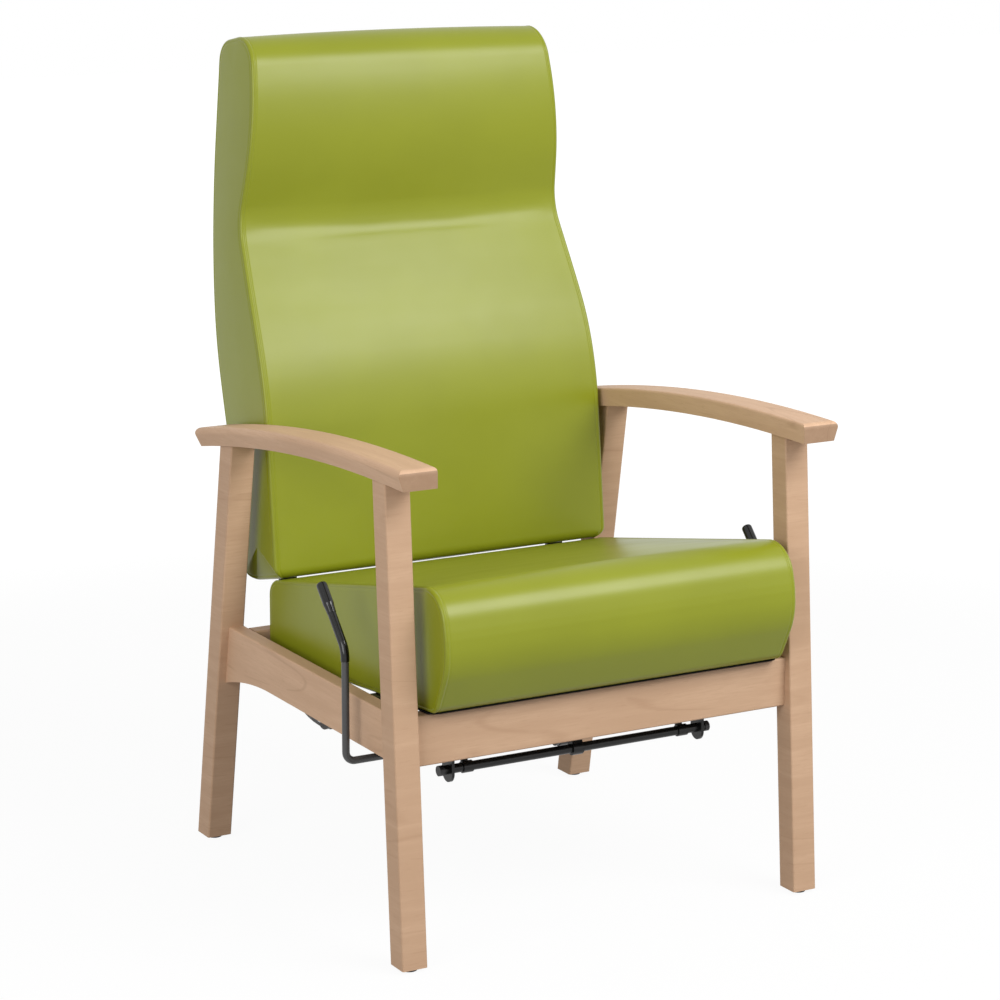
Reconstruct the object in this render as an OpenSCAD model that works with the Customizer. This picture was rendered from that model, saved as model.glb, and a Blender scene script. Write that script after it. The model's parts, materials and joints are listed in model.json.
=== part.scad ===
/* [Wooden frame] */
// Width over the outer faces of the legs
frame_w = 644; // [580:1:720]
// Height of the rails' top edges above the floor
rail_top_z = 331.5; // [310:0.5:350]
// Thickness of a leg across the chair
leg_w = 36.5; // [30:0.5:42]
// Front-to-back depth of a front leg
front_leg_d = 35; // [30:0.5:42]
// Front-to-back depth of a rear leg
rear_leg_d = 38; // [32:0.5:46]
// Distance of the front foot's centre ahead of the footprint's centre
front_foot_y = 302.5; // [285:0.5:320]
// Distance of the rear foot's centre behind the footprint's centre
rear_foot_y = 303.8; // [285:0.1:330]
// Backward lean of the front legs in degrees
front_lean = 3.9; // [2:0.1:6]
// Forward lean of the rear legs in degrees
rear_lean = 9.75; // [7:0.05:12]
// Radius on the long edges of the legs and rails
edge_r = 2.5; // [1:0.5:5]
// Thickness of a side rail
side_rail_t = 23.5; // [18:0.5:30]
// Height of a side rail at its straight front part
side_rail_h = 62.5; // [50:0.5:80]
// Place where a side rail's lower edge starts to sweep down
sweep_start_y = 98; // [60:1:140]
// Radius of that sweep
sweep_r = 480; // [350:5:800]
// Thickness of the front rail
front_rail_t = 25; // [20:0.5:30]
// Height of the front rail
front_rail_h = 67.5; // [55:0.5:80]
// Distance of the front rail's face ahead of the footprint's centre
front_rail_y = 287; // [282:0.5:292]
// Distance of the rear rail's front face behind the footprint's centre
rear_rail_y = 190; // [186:0.5:196]
// Thickness of the rear rail
rear_rail_t = 24; // [18:0.5:26]
// Height of the rear rail
rear_rail_h = 62; // [45:0.5:70]
// Depth of a rail's tenon in its leg
tenon_l = 17; // [10:0.5:20]
// Thickness of a rail's tenon
tenon_t = 11; // [8:0.5:14]
// Length of a corner block's two short sides
block_leg = 52; // [40:1:60]
// Height of a corner block
block_h = 24; // [18:1:26]
// Height of a glide under a foot
glide_h = 5; // [3:0.5:12]
// Diameter of a glide
glide_d = 21; // [15:0.5:28]

/* [Armrests] */
// Height of an armrest's top at its highest place
arm_top_z = 665.5; // [630:0.5:700]
// Place of that highest line ahead of the footprint's centre
arm_apex_y = 270; // [200:1:300]
// Radius of the armrest's long curve
arm_r = 2850; // [2000:10:4000]
// Thickness of an armrest
arm_t = 26.5; // [18:0.5:30]
// How far an armrest's inner face stands in from the legs
arm_in_step = 9; // [2:0.5:12]
// Width of an armrest's top
arm_w = 57.5; // [47:0.5:70]
// How far the outer face runs inward from top to bottom
arm_undercut = 9; // [0:0.5:12]
// Distance of the armrest's front end ahead of the footprint's centre
arm_front_y = 333; // [320:1:345]
// Distance of its top rear edge behind the footprint's centre
arm_rear_y = 287; // [270:1:300]
// Length of the rear end's undercut
arm_rear_cut = 11; // [0:1:20]
// Radius on the armrest's top edges
arm_edge_r = 7.5; // [2:0.5:9]
// Diameter of the dowels between legs and armrests
dowel_d = 10; // [8:0.5:12]

/* [Seat] */
// Gap between the seat cushion and the legs
seat_side_gap = 18.5; // [15:0.5:35]
// Height of the seat's underside at its front edge
seat_under_z = 336; // [334.5:0.5:345]
// Slope of the underside, as a fall over a run
seat_fall = 0.084; // [0.06:0.002:0.1]
// Height of the seat's top at its front edge, before rounding
seat_top_z = 506.5; // [480:0.5:530]
// Slope of the top, as a fall over a run
seat_top_fall = 0.203; // [0.19:0.001:0.23]
// Distance of the seat's front face ahead of the footprint's centre
seat_front_y = 338; // [325:1:350]
// Distance of the seat's rear face behind the footprint's centre
seat_rear_y = 184; // [170:0.5:185]
// Radius of the rounded front top edge
seat_nose_r = 47; // [30:1:55]
// Rise of the crowned top in the middle
seat_crown = 7; // [2:0.5:12]
// Radius on the cushions' long edges
cushion_edge_r = 5; // [3:0.5:12]
// Thickness of the seat board
seat_board_t = 12; // [9:0.5:18]

/* [Backrest] */
// Gap between the backrest and the legs, from its foot to the arms
back_side_gap = 18; // [15:0.5:35]
// Loss of half width per unit of height above the arms
back_taper = 0.081; // [0:0.0005:0.12]
// Height where the backrest starts to narrow
taper_z = 755; // [700:5:820]
// Height of the backrest's highest line
back_top_z = 1160; // [1100:1:1200]
// Height of the neck hollow
neck_z = 892; // [860:1:920]
// Rise of the crowned front face in the middle
back_crown = 7; // [2:0.5:12]
// Thickness of the moulded back board
back_board_t = 12; // [9:0.5:15]

/* [Reclining mechanism] */
// Distance of the recline pivot behind the footprint's centre
pivot_y = 70; // [60:1:80]
// Height of the recline pivot
pivot_z = 235; // [229:1:240]
// Outer diameter of the torque tube
tube_d = 25; // [22:0.5:30]
// Wall of the torque tube
tube_wall = 2.5; // [1.5:0.1:4]
// Distance from the back board's side to the middle of each strap
strap_side = 23; // [18:1:35]
// Width of a back arm
strap_w = 26; // [20:1:30]
// Thickness of a back arm
strap_t = 6; // [4:0.5:8]
// Diameter of the pivot bolts
pivot_d = 12; // [8:0.5:14]
// Thickness of the pivot brackets
bracket_t = 5; // [4:0.5:6]
// Height of the steel seat bars
seat_bar_h = 24; // [18:1:28]
// Width of the steel seat bars
seat_bar_w = 30; // [24:1:36]
// Wall of the steel seat bars
seat_bar_wall = 2; // [1.2:0.1:3]
// Place of the front seat bar ahead of the footprint's centre
front_bar_y = 150; // [130:1:160]
// Length of the crank from the pivot to the gas spring's pin
crank_r = 65; // [55:1:75]
// Forward tilt of the crank at rest in degrees
crank_tilt = 1.7; // [0:0.1:4]
// Place of the spring's front pivot ahead of the footprint's centre
anchor_y = 180; // [174:1:190]
// Height of the spring's front pivot
anchor_z = 235; // [232:1:240]
// Outer diameter of the gas spring's cylinder
cylinder_d = 28; // [20:1:32]
// Length of the gas spring's cylinder
cylinder_l = 124; // [110:1:130]
// Diameter of the gas spring's rod
rod_d = 10; // [8:0.5:14]
// Slack round the crank pin, where the linkage is open
open_slack = 2; // [1.8:0.1:3]

/* [Release bar and levers] */
// Distance of the release bar ahead of the footprint's centre
bar_y = 210; // [206:1:214]
// Height of the release bar
bar_z = 226.6; // [222:0.2:229]
// Diameter of the release bar
bar_d = 12.5; // [10:0.5:15]
// Length of the release bar
bar_l = 420; // [404:1:470]
// Distance of a hanger's middle from the chair's middle
hanger_x = 195; // [188:1:196]
// Thickness of the hangers
hanger_t = 4; // [3:0.5:5]
// Distance of a lever's middle outside the legs
lever_out = 11; // [9:0.5:20]
// Distance of a lever's upright ahead of the footprint's centre
lever_y = 184.5; // [180:0.5:188]
// Height of a lever's crosswise run
lever_run_z = 251.5; // [250:0.5:258]
// Height of a lever's knee
knee_z = 402; // [380:1:430]
// Height of a lever's top
lever_top_z = 476; // [450:1:500]
// Lean of a lever's handle in degrees
handle_lean = 42.8; // [25:0.1:50]
// Diameter of a lever's rod
lever_d = 10; // [8:0.5:12]
// Distance where a lever meets the bar
lever_join_x = 168; // [150:1:175]
// Diameter of a grip
grip_d = 14.5; // [14.5:0.5:18]
// Length of a grip
grip_l = 46; // [30:1:60]

/* [Fasteners and fits] */
// Diameter of the wood screws
screw_d = 5; // [4:0.5:6]
// Length of a wood screw in the wood
screw_l = 15; // [10:0.5:17]
// Diameter of the machine bolts
bolt_d = 6; // [5:0.5:8]
// Gap round a tenon, dowel, screw or board in its seat
seat_gap = 0.25; // [0.15:0.05:0.4]
// Radial gap of a turning or sliding fit
run_gap = 0.08; // [0.05:0.01:0.1]

/* [Hidden] */
$fn = 48;

beech = [0.80, 0.65, 0.50];
vinyl = [0.58, 0.62, 0.20];
black = [0.12, 0.12, 0.13];
steel = [0.62, 0.63, 0.65];
plastic = [0.20, 0.20, 0.21];
ply = [0.74, 0.60, 0.42];

// The origin lies midway between the foremost and the rearmost point
back_rear_y = 394.1;
centre_y = (back_rear_y - seat_front_y) / 2;
left = 1;
right = -1;
far = 1200;
leg_in_x = frame_w / 2 - leg_w;
rail_mid_x = leg_in_x + side_rail_t / 2;
run_d = 2 * run_gap;

// Centre line of the legs, and their faces towards the rails
function front_leg_y(z) = -front_foot_y + z * tan(front_lean);
function rear_leg_y(z) = rear_foot_y - z * tan(rear_lean);
function front_leg_back(z) = front_leg_y(z) + front_leg_d / 2;
function rear_leg_front(z) = rear_leg_y(z) - rear_leg_d / 2;

// Armrest's long curve
arm_centre_z = arm_top_z - arm_r;
function arm_under(y) = arm_centre_z + sqrt(pow(arm_r - arm_t, 2) - pow(y + arm_apex_y, 2));
function arm_over(y) = arm_centre_z + sqrt(pow(arm_r, 2) - pow(y + arm_apex_y, 2));
arm_in_x = leg_in_x - arm_in_step;
seat_w = 2 * (leg_in_x - seat_side_gap);
back_w = 2 * (leg_in_x - back_side_gap);
lever_x = frame_w / 2 + lever_out;

// Underside and top of the seat
seat_edge_y = -seat_front_y + 37;
function seat_under(y) = seat_under_z - (y - seat_edge_y) * seat_fall;
nose_y = -seat_front_y + 18.5;
function seat_over(y) = seat_top_z - (y - nose_y) * seat_top_fall;

function unit(v) = v / norm(v);
function corner(p, r) = [p[0], p[1], r];
function mid(a, b) = (a + b) / 2;

// Arc that rounds the corner q between p and t with radius r
function corner_arc(p, q, t, r, steps) =
    let (u = unit(p - q), v = unit(t - q))
    let (half = acos(u * v) / 2)
    let (c = q + unit(u + v) * r / sin(half))
    let (s = q + u * r / tan(half) - c, e = q + v * r / tan(half) - c)
    let (a0 = atan2(s[1], s[0]))
    let (turn = (atan2(e[1], e[0]) - a0 + 540) % 360 - 180)
    [for (k = [0 : steps]) c + r * [cos(a0 + turn * k / steps), sin(a0 + turn * k / steps)]];

// Line through corners [y, z, r], each one rounded by its own radius
function rounded_line(v, steps) = concat(
    [[v[0][0], v[0][1]]],
    [for (i = [1 : len(v) - 2])
        for (p = corner_arc([v[i - 1][0], v[i - 1][1]], [v[i][0], v[i][1]],
            [v[i + 1][0], v[i + 1][1]], v[i][2], steps)) p],
    [[v[len(v) - 1][0], v[len(v) - 1][1]]]);

// Distance run along a line up to each of its points
function distances(p) =
    [for (i = 0, s = 0; i < len(p); s = s + (i + 1 < len(p) ? norm(p[i + 1] - p[i]) : 0), i = i + 1) s];

// Point of a line at a share f of its length
function along(p, run, f) =
    let (t = f * run[len(run) - 1])
    let (i = min(len(p) - 2, max(0, len([for (s = run) if (s <= t) 1]) - 1)))
    p[i] + (p[i + 1] - p[i]) * (t - run[i]) / max(0.000001, run[i + 1] - run[i]);

// Outline of a strip of thickness t that follows a line
function normal_at(p, i) =
    let (a = unit(p[min(i + 1, len(p) - 1)] - p[min(i, len(p) - 2)]))
    let (b = unit(p[max(i, 1)] - p[max(i - 1, 0)]))
    let (m = unit(a + b))
    [-m[1], m[0]] / (m * a);
function strip(p, t) = concat(
    [for (i = [0 : len(p) - 1]) p[i] + normal_at(p, i) * t / 2],
    [for (i = [len(p) - 1 : -1 : 0]) p[i] - normal_at(p, i) * t / 2]);

module placed() {
    translate([0, -centre_y, 0]) children();
}

// Puts what is drawn for the left side on the given side
module on_side(side) {
    mirror([side < 0 ? 1 : 0, 0, 0]) children();
}

module both_sides() {
    for (side = [right, left]) on_side(side) children();
}

// Extrudes a side view, drawn as [y, z], from x0 to x1
module side_view(x0, x1) {
    translate([x0, 0, 0]) rotate([90, 0, 90]) linear_extrude(x1 - x0) children();
}

// Extrudes a front view, drawn as [x, z], from y0 to y1
module front_view(y0, y1) {
    translate([0, y1, 0]) rotate([90, 0, 0]) linear_extrude(y1 - y0) children();
}

module block(a, b) {
    translate(a) cube(b - a);
}

// Straight round bar from a to b along X
module bar_x(x0, x1, y, z, d) {
    translate([x0, y, z]) rotate([0, 90, 0]) cylinder(d = d, h = x1 - x0);
}

module bar_y_dir(x, y0, y1, z, d) {
    translate([x, y0, z]) rotate([-90, 0, 0]) cylinder(d = d, h = y1 - y0);
}

module rounded_rect(w, h, r) {
    union() {
        square([w - 2 * r, h], center = true);
        square([w, h - 2 * r], center = true);
        for (x = [-1, 1]) for (y = [-1, 1]) translate([x * (w / 2 - r), y * (h / 2 - r)]) circle(r);
    }
}

// Lobe shape: a disc of radius r at a, widening along straight sides to the edge p-q.
// The sides aim a little inside the disc's rim, so that they cut it cleanly.
rim_in = 0.4;

module lobe(a, r, p, q) {
    function touch(p, s) =
        let (d = norm(p - a), w = acos((r - rim_in) / d), b = atan2(p[1] - a[1], p[0] - a[0]))
        a + (r - rim_in) * [cos(b + s * w), sin(b + s * w)];
    union() {
        translate(a) circle(r);
        polygon([touch(p, 1), p, q, touch(q, -1), a]);
    }
}

// Legs, each a rounded bar that leans, cut level at the glide and to the armrest's curve
top_gap = 0.3;

module leg_bar(foot_y, lean, depth) {
    intersection() {
        translate([leg_in_x + leg_w / 2, foot_y, 0]) rotate([-lean, 0, 0])
            translate([0, 0, -50]) linear_extrude(arm_top_z + 50)
                rounded_rect(leg_w, depth * cos(lean), edge_r);
        translate([leg_in_x - 1, -arm_apex_y, arm_centre_z]) rotate([0, 90, 0])
            cylinder(r = arm_r - arm_t - top_gap, h = leg_w + 2, $fn = 720);
        block([leg_in_x - 1, -far, glide_h], [leg_in_x + leg_w + 1, far, arm_top_z]);
    }
}

// Two dowels stand in each leg's top
dowel_step = 17;
dowel_up = 14;
dowel_down = 22;
function dowel_places(y) = [y - dowel_step / 2, y + dowel_step / 2];
front_top_y = front_leg_y(arm_top_z - arm_t);
rear_top_y = rear_leg_y(arm_under(rear_foot_y - arm_top_z * tan(rear_lean)));

module dowels(gap) {
    for (y = concat(dowel_places(front_top_y), dowel_places(rear_top_y)))
        translate([leg_in_x + leg_w / 2, y, arm_under(y) - dowel_down - gap])
            cylinder(d = dowel_d + 2 * gap, h = dowel_down + dowel_up + 2 * gap);
}

// Glides: a disc under the foot with a nail up into it
nail_d = 4;
nail_l = 18;

module glide_nail(foot_y, gap) {
    translate([leg_in_x + leg_w / 2, foot_y, glide_h - 1])
        cylinder(d = nail_d + 2 * gap, h = nail_l + gap + 1);
}

// Tenons: a side rail's lies high and the front rail's lies low, so that they pass
rail_tenon_h = 26;
side_tenon_z = rail_top_z - rail_tenon_h - 6;
front_tenon_z = rail_top_z - front_rail_h + 6;

module side_tenons(gap) {
    x0 = rail_mid_x - tenon_t / 2 - gap;
    x1 = rail_mid_x + tenon_t / 2 + gap;
    z0 = side_tenon_z - gap;
    z1 = side_tenon_z + rail_tenon_h + gap;
    side_view(x0, x1) polygon([
        [front_leg_back(z0) - tenon_l - gap, z0], [0, z0],
        [0, z1], [front_leg_back(z1) - tenon_l - gap, z1]]);
    side_view(x0, x1) polygon([
        [0, z0], [rear_leg_front(z0) + tenon_l + gap, z0],
        [rear_leg_front(z1) + tenon_l + gap, z1], [0, z1]]);
}

module front_tenon(gap) {
    y0 = -front_rail_y + (front_rail_t - tenon_t) / 2 - gap;
    block([leg_in_x - 1, y0, front_tenon_z - gap],
        [leg_in_x + tenon_l + gap, y0 + tenon_t + 2 * gap, front_tenon_z + rail_tenon_h + gap]);
}

module front_leg(side) {
    color(beech) placed() on_side(side) difference() {
        leg_bar(-front_foot_y, front_lean, front_leg_d);
        side_tenons(seat_gap);
        front_tenon(seat_gap);
        dowels(seat_gap);
        glide_nail(front_leg_y(glide_h), seat_gap);
    }
}

module rear_leg(side) {
    color(beech) placed() on_side(side) difference() {
        leg_bar(rear_foot_y, -rear_lean, rear_leg_d);
        side_tenons(seat_gap);
        dowels(seat_gap);
        glide_nail(rear_leg_y(glide_h), seat_gap);
    }
}

// Armrest: its section turned about the long curve's centre, cut to its side outline
module arm_section() {
    out_r = arm_edge_r;
    in_r = arm_edge_r / 2;
    top_x = arm_in_x + arm_w;
    polygon(concat(
        [[arm_r - arm_t, arm_in_x]],
        [for (p = corner_arc([arm_r - arm_t, arm_in_x], [arm_r, arm_in_x], [arm_r, top_x], in_r, 4)) p],
        [for (p = corner_arc([arm_r, arm_in_x], [arm_r, top_x],
            [arm_r - arm_t, top_x - arm_undercut], out_r, 6)) p],
        [[arm_r - arm_t, top_x - arm_undercut]]));
}

arm_end_l = 60;

module arm_outline() {
    front_top = [-arm_front_y, arm_over(-arm_front_y)];
    rear_top = [arm_rear_y, arm_over(arm_rear_y)];
    low_front = [-arm_front_y, 0];
    low_rear = [arm_rear_y - arm_rear_cut, rear_top[1] - arm_t];
    front_over = [front_top[0] + arm_end_l, arm_over(front_top[0] + arm_end_l)];
    rear_over = [rear_top[0] - arm_end_l, arm_over(rear_top[0] - arm_end_l)];
    high = arm_top_z + arm_t;
    polygon(concat(
        [low_front],
        corner_arc(low_front, front_top, front_over, arm_edge_r, 6),
        [[front_over[0], high], [rear_over[0], high]],
        corner_arc(rear_over, rear_top, low_rear, arm_edge_r, 6),
        [low_rear, [0, rear_top[1] - 2 * arm_t]]));
}

module armrest(side) {
    color(beech) placed() on_side(side) difference() {
        intersection() {
            translate([0, -arm_apex_y, arm_centre_z]) rotate([90, 0, 90])
                rotate_extrude($fn = 720) arm_section();
            side_view(arm_in_x - 5, arm_in_x + arm_w + 5) arm_outline();
        }
        dowels(seat_gap);
    }
}

module arm_dowels() {
    color(ply) placed() both_sides() dowels(0);
}

module leg_glides() {
    color(plastic) placed() both_sides() for (y = [front_leg_y(glide_h), rear_leg_y(glide_h)]) {
        union() {
            translate([leg_in_x + leg_w / 2, y, 0]) cylinder(d = glide_d, h = glide_h);
            glide_nail(y, 0);
        }
    }
}

// Side rails, with room below their front height for the sweep at the rear
sweep_room = 60;

module side_rail_outline() {
    z0 = rail_top_z - side_rail_h;
    low = z0 - sweep_room;
    difference() {
        polygon([
            [front_leg_back(low), low], [rear_leg_front(low), low],
            [rear_leg_front(rail_top_z), rail_top_z], [front_leg_back(rail_top_z), rail_top_z]]);
        translate([-far, z0 - far]) square([far + sweep_start_y, far]);
        translate([sweep_start_y, z0 - sweep_r]) circle(sweep_r, $fn = 360);
    }
}

module side_rail_section() {
    z0 = rail_top_z - side_rail_h - 2 * sweep_room;
    translate([rail_mid_x, (rail_top_z + z0) / 2])
        rounded_rect(side_rail_t, rail_top_z - z0, edge_r);
}

// Screw in a rail: its head stands on the face and its shank goes into the wood
head_d = 10;
head_h = 3;

module screw(gap) {
    union() {
        translate([0, 0, -screw_l - gap]) cylinder(d = screw_d + 2 * gap, h = screw_l + gap + 0.5);
        if (gap == 0) cylinder(d = head_d, h = head_h);
    }
}

module side_rail(side) {
    color(beech) placed() on_side(side) difference() {
        union() {
            intersection() {
                side_view(leg_in_x, leg_in_x + side_rail_t) side_rail_outline();
                front_view(-far, far) side_rail_section();
            }
            intersection() {
                side_tenons(0);
                block([leg_in_x, -far, 0], [frame_w, far, far]);
            }
        }
        rear_rail_tenon(seat_gap);
        plate_screws(seat_gap);
        block_screws_at(seat_gap);
    }
}

module front_rail() {
    z0 = rail_top_z - front_rail_h;
    y0 = -front_rail_y;
    color(beech) placed() difference() {
        union() {
            side_view(-leg_in_x, leg_in_x) translate([y0 + front_rail_t / 2, rail_top_z - front_rail_h / 2])
                rounded_rect(front_rail_t, front_rail_h, edge_r);
            both_sides() front_tenon(0);
        }
        both_sides() hanger_screws_at(seat_gap);
        both_sides() block_screws_at(seat_gap);
        anchor_screws_at(seat_gap);
    }
}

rear_tenon_l = 12;

module rear_rail_tenon(gap) {
    y0 = rear_rail_y + (rear_rail_t - tenon_t) / 2 - gap;
    z0 = rail_top_z - rear_rail_h / 2 - rail_tenon_h / 2 - gap;
    block([leg_in_x - 1, y0, z0],
        [leg_in_x + rear_tenon_l + gap, y0 + tenon_t + 2 * gap, z0 + rail_tenon_h + 2 * gap]);
}

module rear_rail() {
    color(beech) placed() difference() {
        union() {
            side_view(-leg_in_x, leg_in_x)
                translate([rear_rail_y + rear_rail_t / 2, rail_top_z - rear_rail_h / 2])
                    rounded_rect(rear_rail_t, rear_rail_h, edge_r);
            both_sides() rear_rail_tenon(0);
        }
        both_sides() block_screws_at(seat_gap);
    }
}

// Corner blocks behind the front rail and ahead of the rear rail, drawn for the left side
block_drop = 21;
block_under = 2;
front_block_y = -front_rail_y + front_rail_t;
front_block_z = rail_top_z - block_drop - block_h;
rear_block_z = seat_under(seat_rear_y) - block_under - block_h;
block_screw_l = 26;
block_seat = 14;
block_side = 12;
block_spot = block_leg * 0.7;

module corner_block(y, dir, z) {
    translate([leg_in_x, y, z]) linear_extrude(block_h)
        polygon([
            [0, 0], [-block_leg, 0], [-block_leg, dir * block_side],
            [-block_side, dir * block_leg], [0, dir * block_leg]]);
}

function block_spots() = [[front_block_y, 1, front_block_z], [rear_rail_y, -1, rear_block_z]];

// Screw through a block into a rail, with its head sunk in a counterbore
module block_screw(gap) {
    union() {
        translate([0, 0, -block_screw_l - gap])
            cylinder(d = screw_d + 2 * gap, h = block_screw_l + gap + 0.5);
        cylinder(d = head_d + 4 * gap, h = gap > 0 ? block_leg : head_h);
    }
}

module block_screw_pair(y, dir, z, gap) {
    mid_z = z + block_h / 2;
    translate([leg_in_x - block_spot, y + dir * block_seat, mid_z])
        rotate([-90 * dir, 0, 0]) block_screw(gap);
    translate([leg_in_x - block_seat, y + dir * block_spot, mid_z]) rotate([0, -90, 0]) block_screw(gap);
}

module block_screws_at(gap) {
    for (s = block_spots()) block_screw_pair(s[0], s[1], s[2], gap);
}

module corner_blocks() {
    color(ply) placed() both_sides() difference() {
        for (s = block_spots()) corner_block(s[0], s[1], s[2]);
        block_screws_at(seat_gap);
    }
}

module block_screws() {
    color(steel) placed() both_sides() block_screws_at(0);
}

// Steel seat bars: a box tube under the seat with a plate at each end
plate_t = 4;
plate_w = 66;
plate_h = 38;
plate_shoulder = 4;
plate_screw_down = 21;
screw_step = 46;

module seat_bar(y) {
    y0 = y - seat_bar_w / 2;
    y1 = y + seat_bar_w / 2;
    w = seat_bar_wall;
    x1 = leg_in_x - plate_t;
    difference() {
        union() {
            side_view(-x1, x1) polygon([
                [y0, seat_under(y0) - seat_bar_h], [y1, seat_under(y1) - seat_bar_h],
                [y1, seat_under(y1)], [y0, seat_under(y0)]]);
            both_sides() side_view(x1, leg_in_x) polygon([
                [y - plate_w / 2, seat_under(y) - plate_h], [y + plate_w / 2, seat_under(y) - plate_h],
                [y + plate_w / 2, seat_under(y) - plate_shoulder], [y1, seat_under(y1)],
                [y0, seat_under(y0)], [y - plate_w / 2, seat_under(y) - plate_shoulder]]);
        }
        side_view(-x1, x1) polygon([
            [y0 + w, seat_under(y0 + w) - seat_bar_h + w], [y1 - w, seat_under(y1 - w) - seat_bar_h + w],
            [y1 - w, seat_under(y1 - w) - w], [y0 + w, seat_under(y0 + w) - w]]);
        both_sides() plate_screws(seat_gap);
        both_sides() seat_bolts_at(seat_gap);
    }
}

function seat_bars() = [-front_bar_y, pivot_y];

module plate_screws(gap) {
    for (y = seat_bars()) for (s = [-1, 1])
        translate([leg_in_x - plate_t, y + s * screw_step / 2, seat_under(y) - plate_screw_down])
            rotate([0, -90, 0]) screw(gap);
}

module front_seat_bar() {
    color(black) placed() seat_bar(-front_bar_y);
}

module rear_seat_bar() {
    color(black) placed() seat_bar(pivot_y);
}

module seat_bar_screws() {
    color(steel) placed() both_sides() plate_screws(0);
}

// Bolts up through the bars into the seat board
seat_bolt_x = 150;
seat_bolt_grip = 9;
bolt_stand = 2;
bolt_head_h = 4;
bolt_head_d = bolt_d + 7;

module seat_bolts_at(gap) {
    for (y = seat_bars()) translate([seat_bolt_x, y, seat_under(y) - seat_bar_h - bolt_stand]) union() {
        cylinder(d = bolt_d + 2 * gap, h = seat_bar_h + bolt_stand + seat_bolt_grip + gap);
        if (gap == 0) translate([0, 0, -bolt_head_h]) cylinder(d = bolt_head_d, h = bolt_head_h + 0.5);
    }
}

module seat_bolts() {
    color(steel) placed() both_sides() seat_bolts_at(0);
}

// Brackets that hang from the rear seat bar to the recline pivot
board_side = 25.5;
board_taper = 74;
board_low_w = back_w - 2 * board_side;
board_high_w = board_low_w - board_taper;
arm_strap_x = board_low_w / 2 - strap_side;
strap_in_x = arm_strap_x - strap_w / 2;
strap_out_x = arm_strap_x + strap_w / 2;
tube_half = strap_out_x + 1;
washer_t = 2.4;
side_play = 0.3;
bracket_x = tube_half + washer_t + 2 * side_play;
pivot = [pivot_y, pivot_z];
bracket_r = 21;
bracket_half = 34;

module pivot_bracket(side) {
    p = [pivot_y - bracket_half, seat_under(pivot_y - bracket_half) - seat_bar_h];
    q = [pivot_y + bracket_half, seat_under(pivot_y + bracket_half) - seat_bar_h];
    color(black) placed() on_side(side) difference() {
        side_view(bracket_x, bracket_x + bracket_t) lobe(pivot, bracket_r, p, q);
        bar_x(bracket_x - 1, bracket_x + bracket_t + 1, pivot_y, pivot_z, pivot_d + run_d);
    }
}

// Cushion built from rings: line a and line b run along it and each ring spans a point of each
function share(i, n) = let (f = i / n) 0.45 * f + 0.55 * (1 - cos(180 * f)) / 2;

function ring(a, b, depth, half_w, r0, crown_a, crown_b, puff) =
    let (len_ab = norm(b - a), u = (b - a) / len_ab, r = min(r0, len_ab * 0.45), n_face = 5, n_turn = 3)
    let (flat = half_w - r)
    let (side_pts = concat(
        [for (k = [0 : n_turn]) r * (1 - cos(90 * k / n_turn))],
        [for (k = [1 : 3]) r + (len_ab - 2 * r) * k / 4],
        [for (k = [n_turn : -1 : 0]) len_ab - r * (1 - cos(90 * k / n_turn))]))
    let (edge = [for (s = side_pts)
        let (d = min(r, min(depth, min(s, len_ab - s))))
        [flat + sqrt(max(0, r * r - pow(r - d, 2))) + puff * sin(180 * s / len_ab) * min(1, depth / 30),
            a + u * s]])
    concat(
        [for (k = [1 : n_face - 1]) let (x = flat * (2 * k / n_face - 1))
            let (p = a - u * crown_a * (1 - pow(x / flat, 2))) [x, p[0], p[1]]],
        [for (e = edge) [e[0], e[1][0], e[1][1]]],
        [for (k = [n_face - 1 : -1 : 1]) let (x = flat * (2 * k / n_face - 1))
            let (p = b + u * crown_b * (1 - pow(x / flat, 2))) [x, p[0], p[1]]],
        [for (i = [len(edge) - 1 : -1 : 0]) [-edge[i][0], edge[i][1][0], edge[i][1][1]]]);

module cushion(rings) {
    n = len(rings);
    m = len(rings[0]);
    ends = [for (r = [rings[0], rings[n - 1]])
        let (s = [for (p = r) 1] * r) s / m];
    polyhedron(
        points = concat([for (r = rings) for (p = r) p], ends),
        faces = concat(
            [for (i = [0 : n - 2]) for (j = [0 : m - 1]) let (k = (j + 1) % m)
                [i * m + j, (i + 1) * m + j, (i + 1) * m + k]],
            [for (i = [0 : n - 2]) for (j = [0 : m - 1]) let (k = (j + 1) % m)
                [i * m + j, (i + 1) * m + k, i * m + k]],
            [for (j = [0 : m - 1]) [j, (j + 1) % m, n * m]],
            [for (j = [0 : m - 1]) [(n - 1) * m + (j + 1) % m, (n - 1) * m + j, n * m + 1]]));
}

// Seat cushion: line a runs from the nose under the seat, line b over it
seat_lift = 0.5;
seat_waist = 2.5;
side_puff = 1.5;
seat_levels = 34;
nose_up = 106;
bulge_up = 64;
bulge_out = 24.5;
nose_start = [nose_y - 15, seat_under_z + nose_up];
nose_bulge = [nose_y - bulge_out, seat_under_z + bulge_up];
nose_edge = [nose_y - 12.6, seat_under_z + nose_up + 11];
bulge_r = 80;
seat_low_front_r = 9;
seat_low_rear_r = 8;
seat_top_rear_r = 16;
rear_face_half = 18;
seat_rear = [seat_rear_y, mid(seat_under(seat_rear_y), seat_over(seat_rear_y))];
seat_a = rounded_line([
    corner(nose_start, 0), corner(nose_bulge, bulge_r),
    [seat_edge_y, seat_under(seat_edge_y) + seat_lift, seat_low_front_r],
    [seat_rear_y, seat_under(seat_rear_y) + seat_lift, seat_low_rear_r],
    corner(seat_rear - [0, rear_face_half], 0)], 7);
seat_b = rounded_line([
    corner(nose_edge, 0), [nose_y, seat_top_z, seat_nose_r],
    [seat_rear_y, seat_over(seat_rear_y), seat_top_rear_r],
    corner(seat_rear + [0, rear_face_half], 0)], 7);
seat_a_run = distances(seat_a);
seat_b_run = distances(seat_b);
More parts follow.
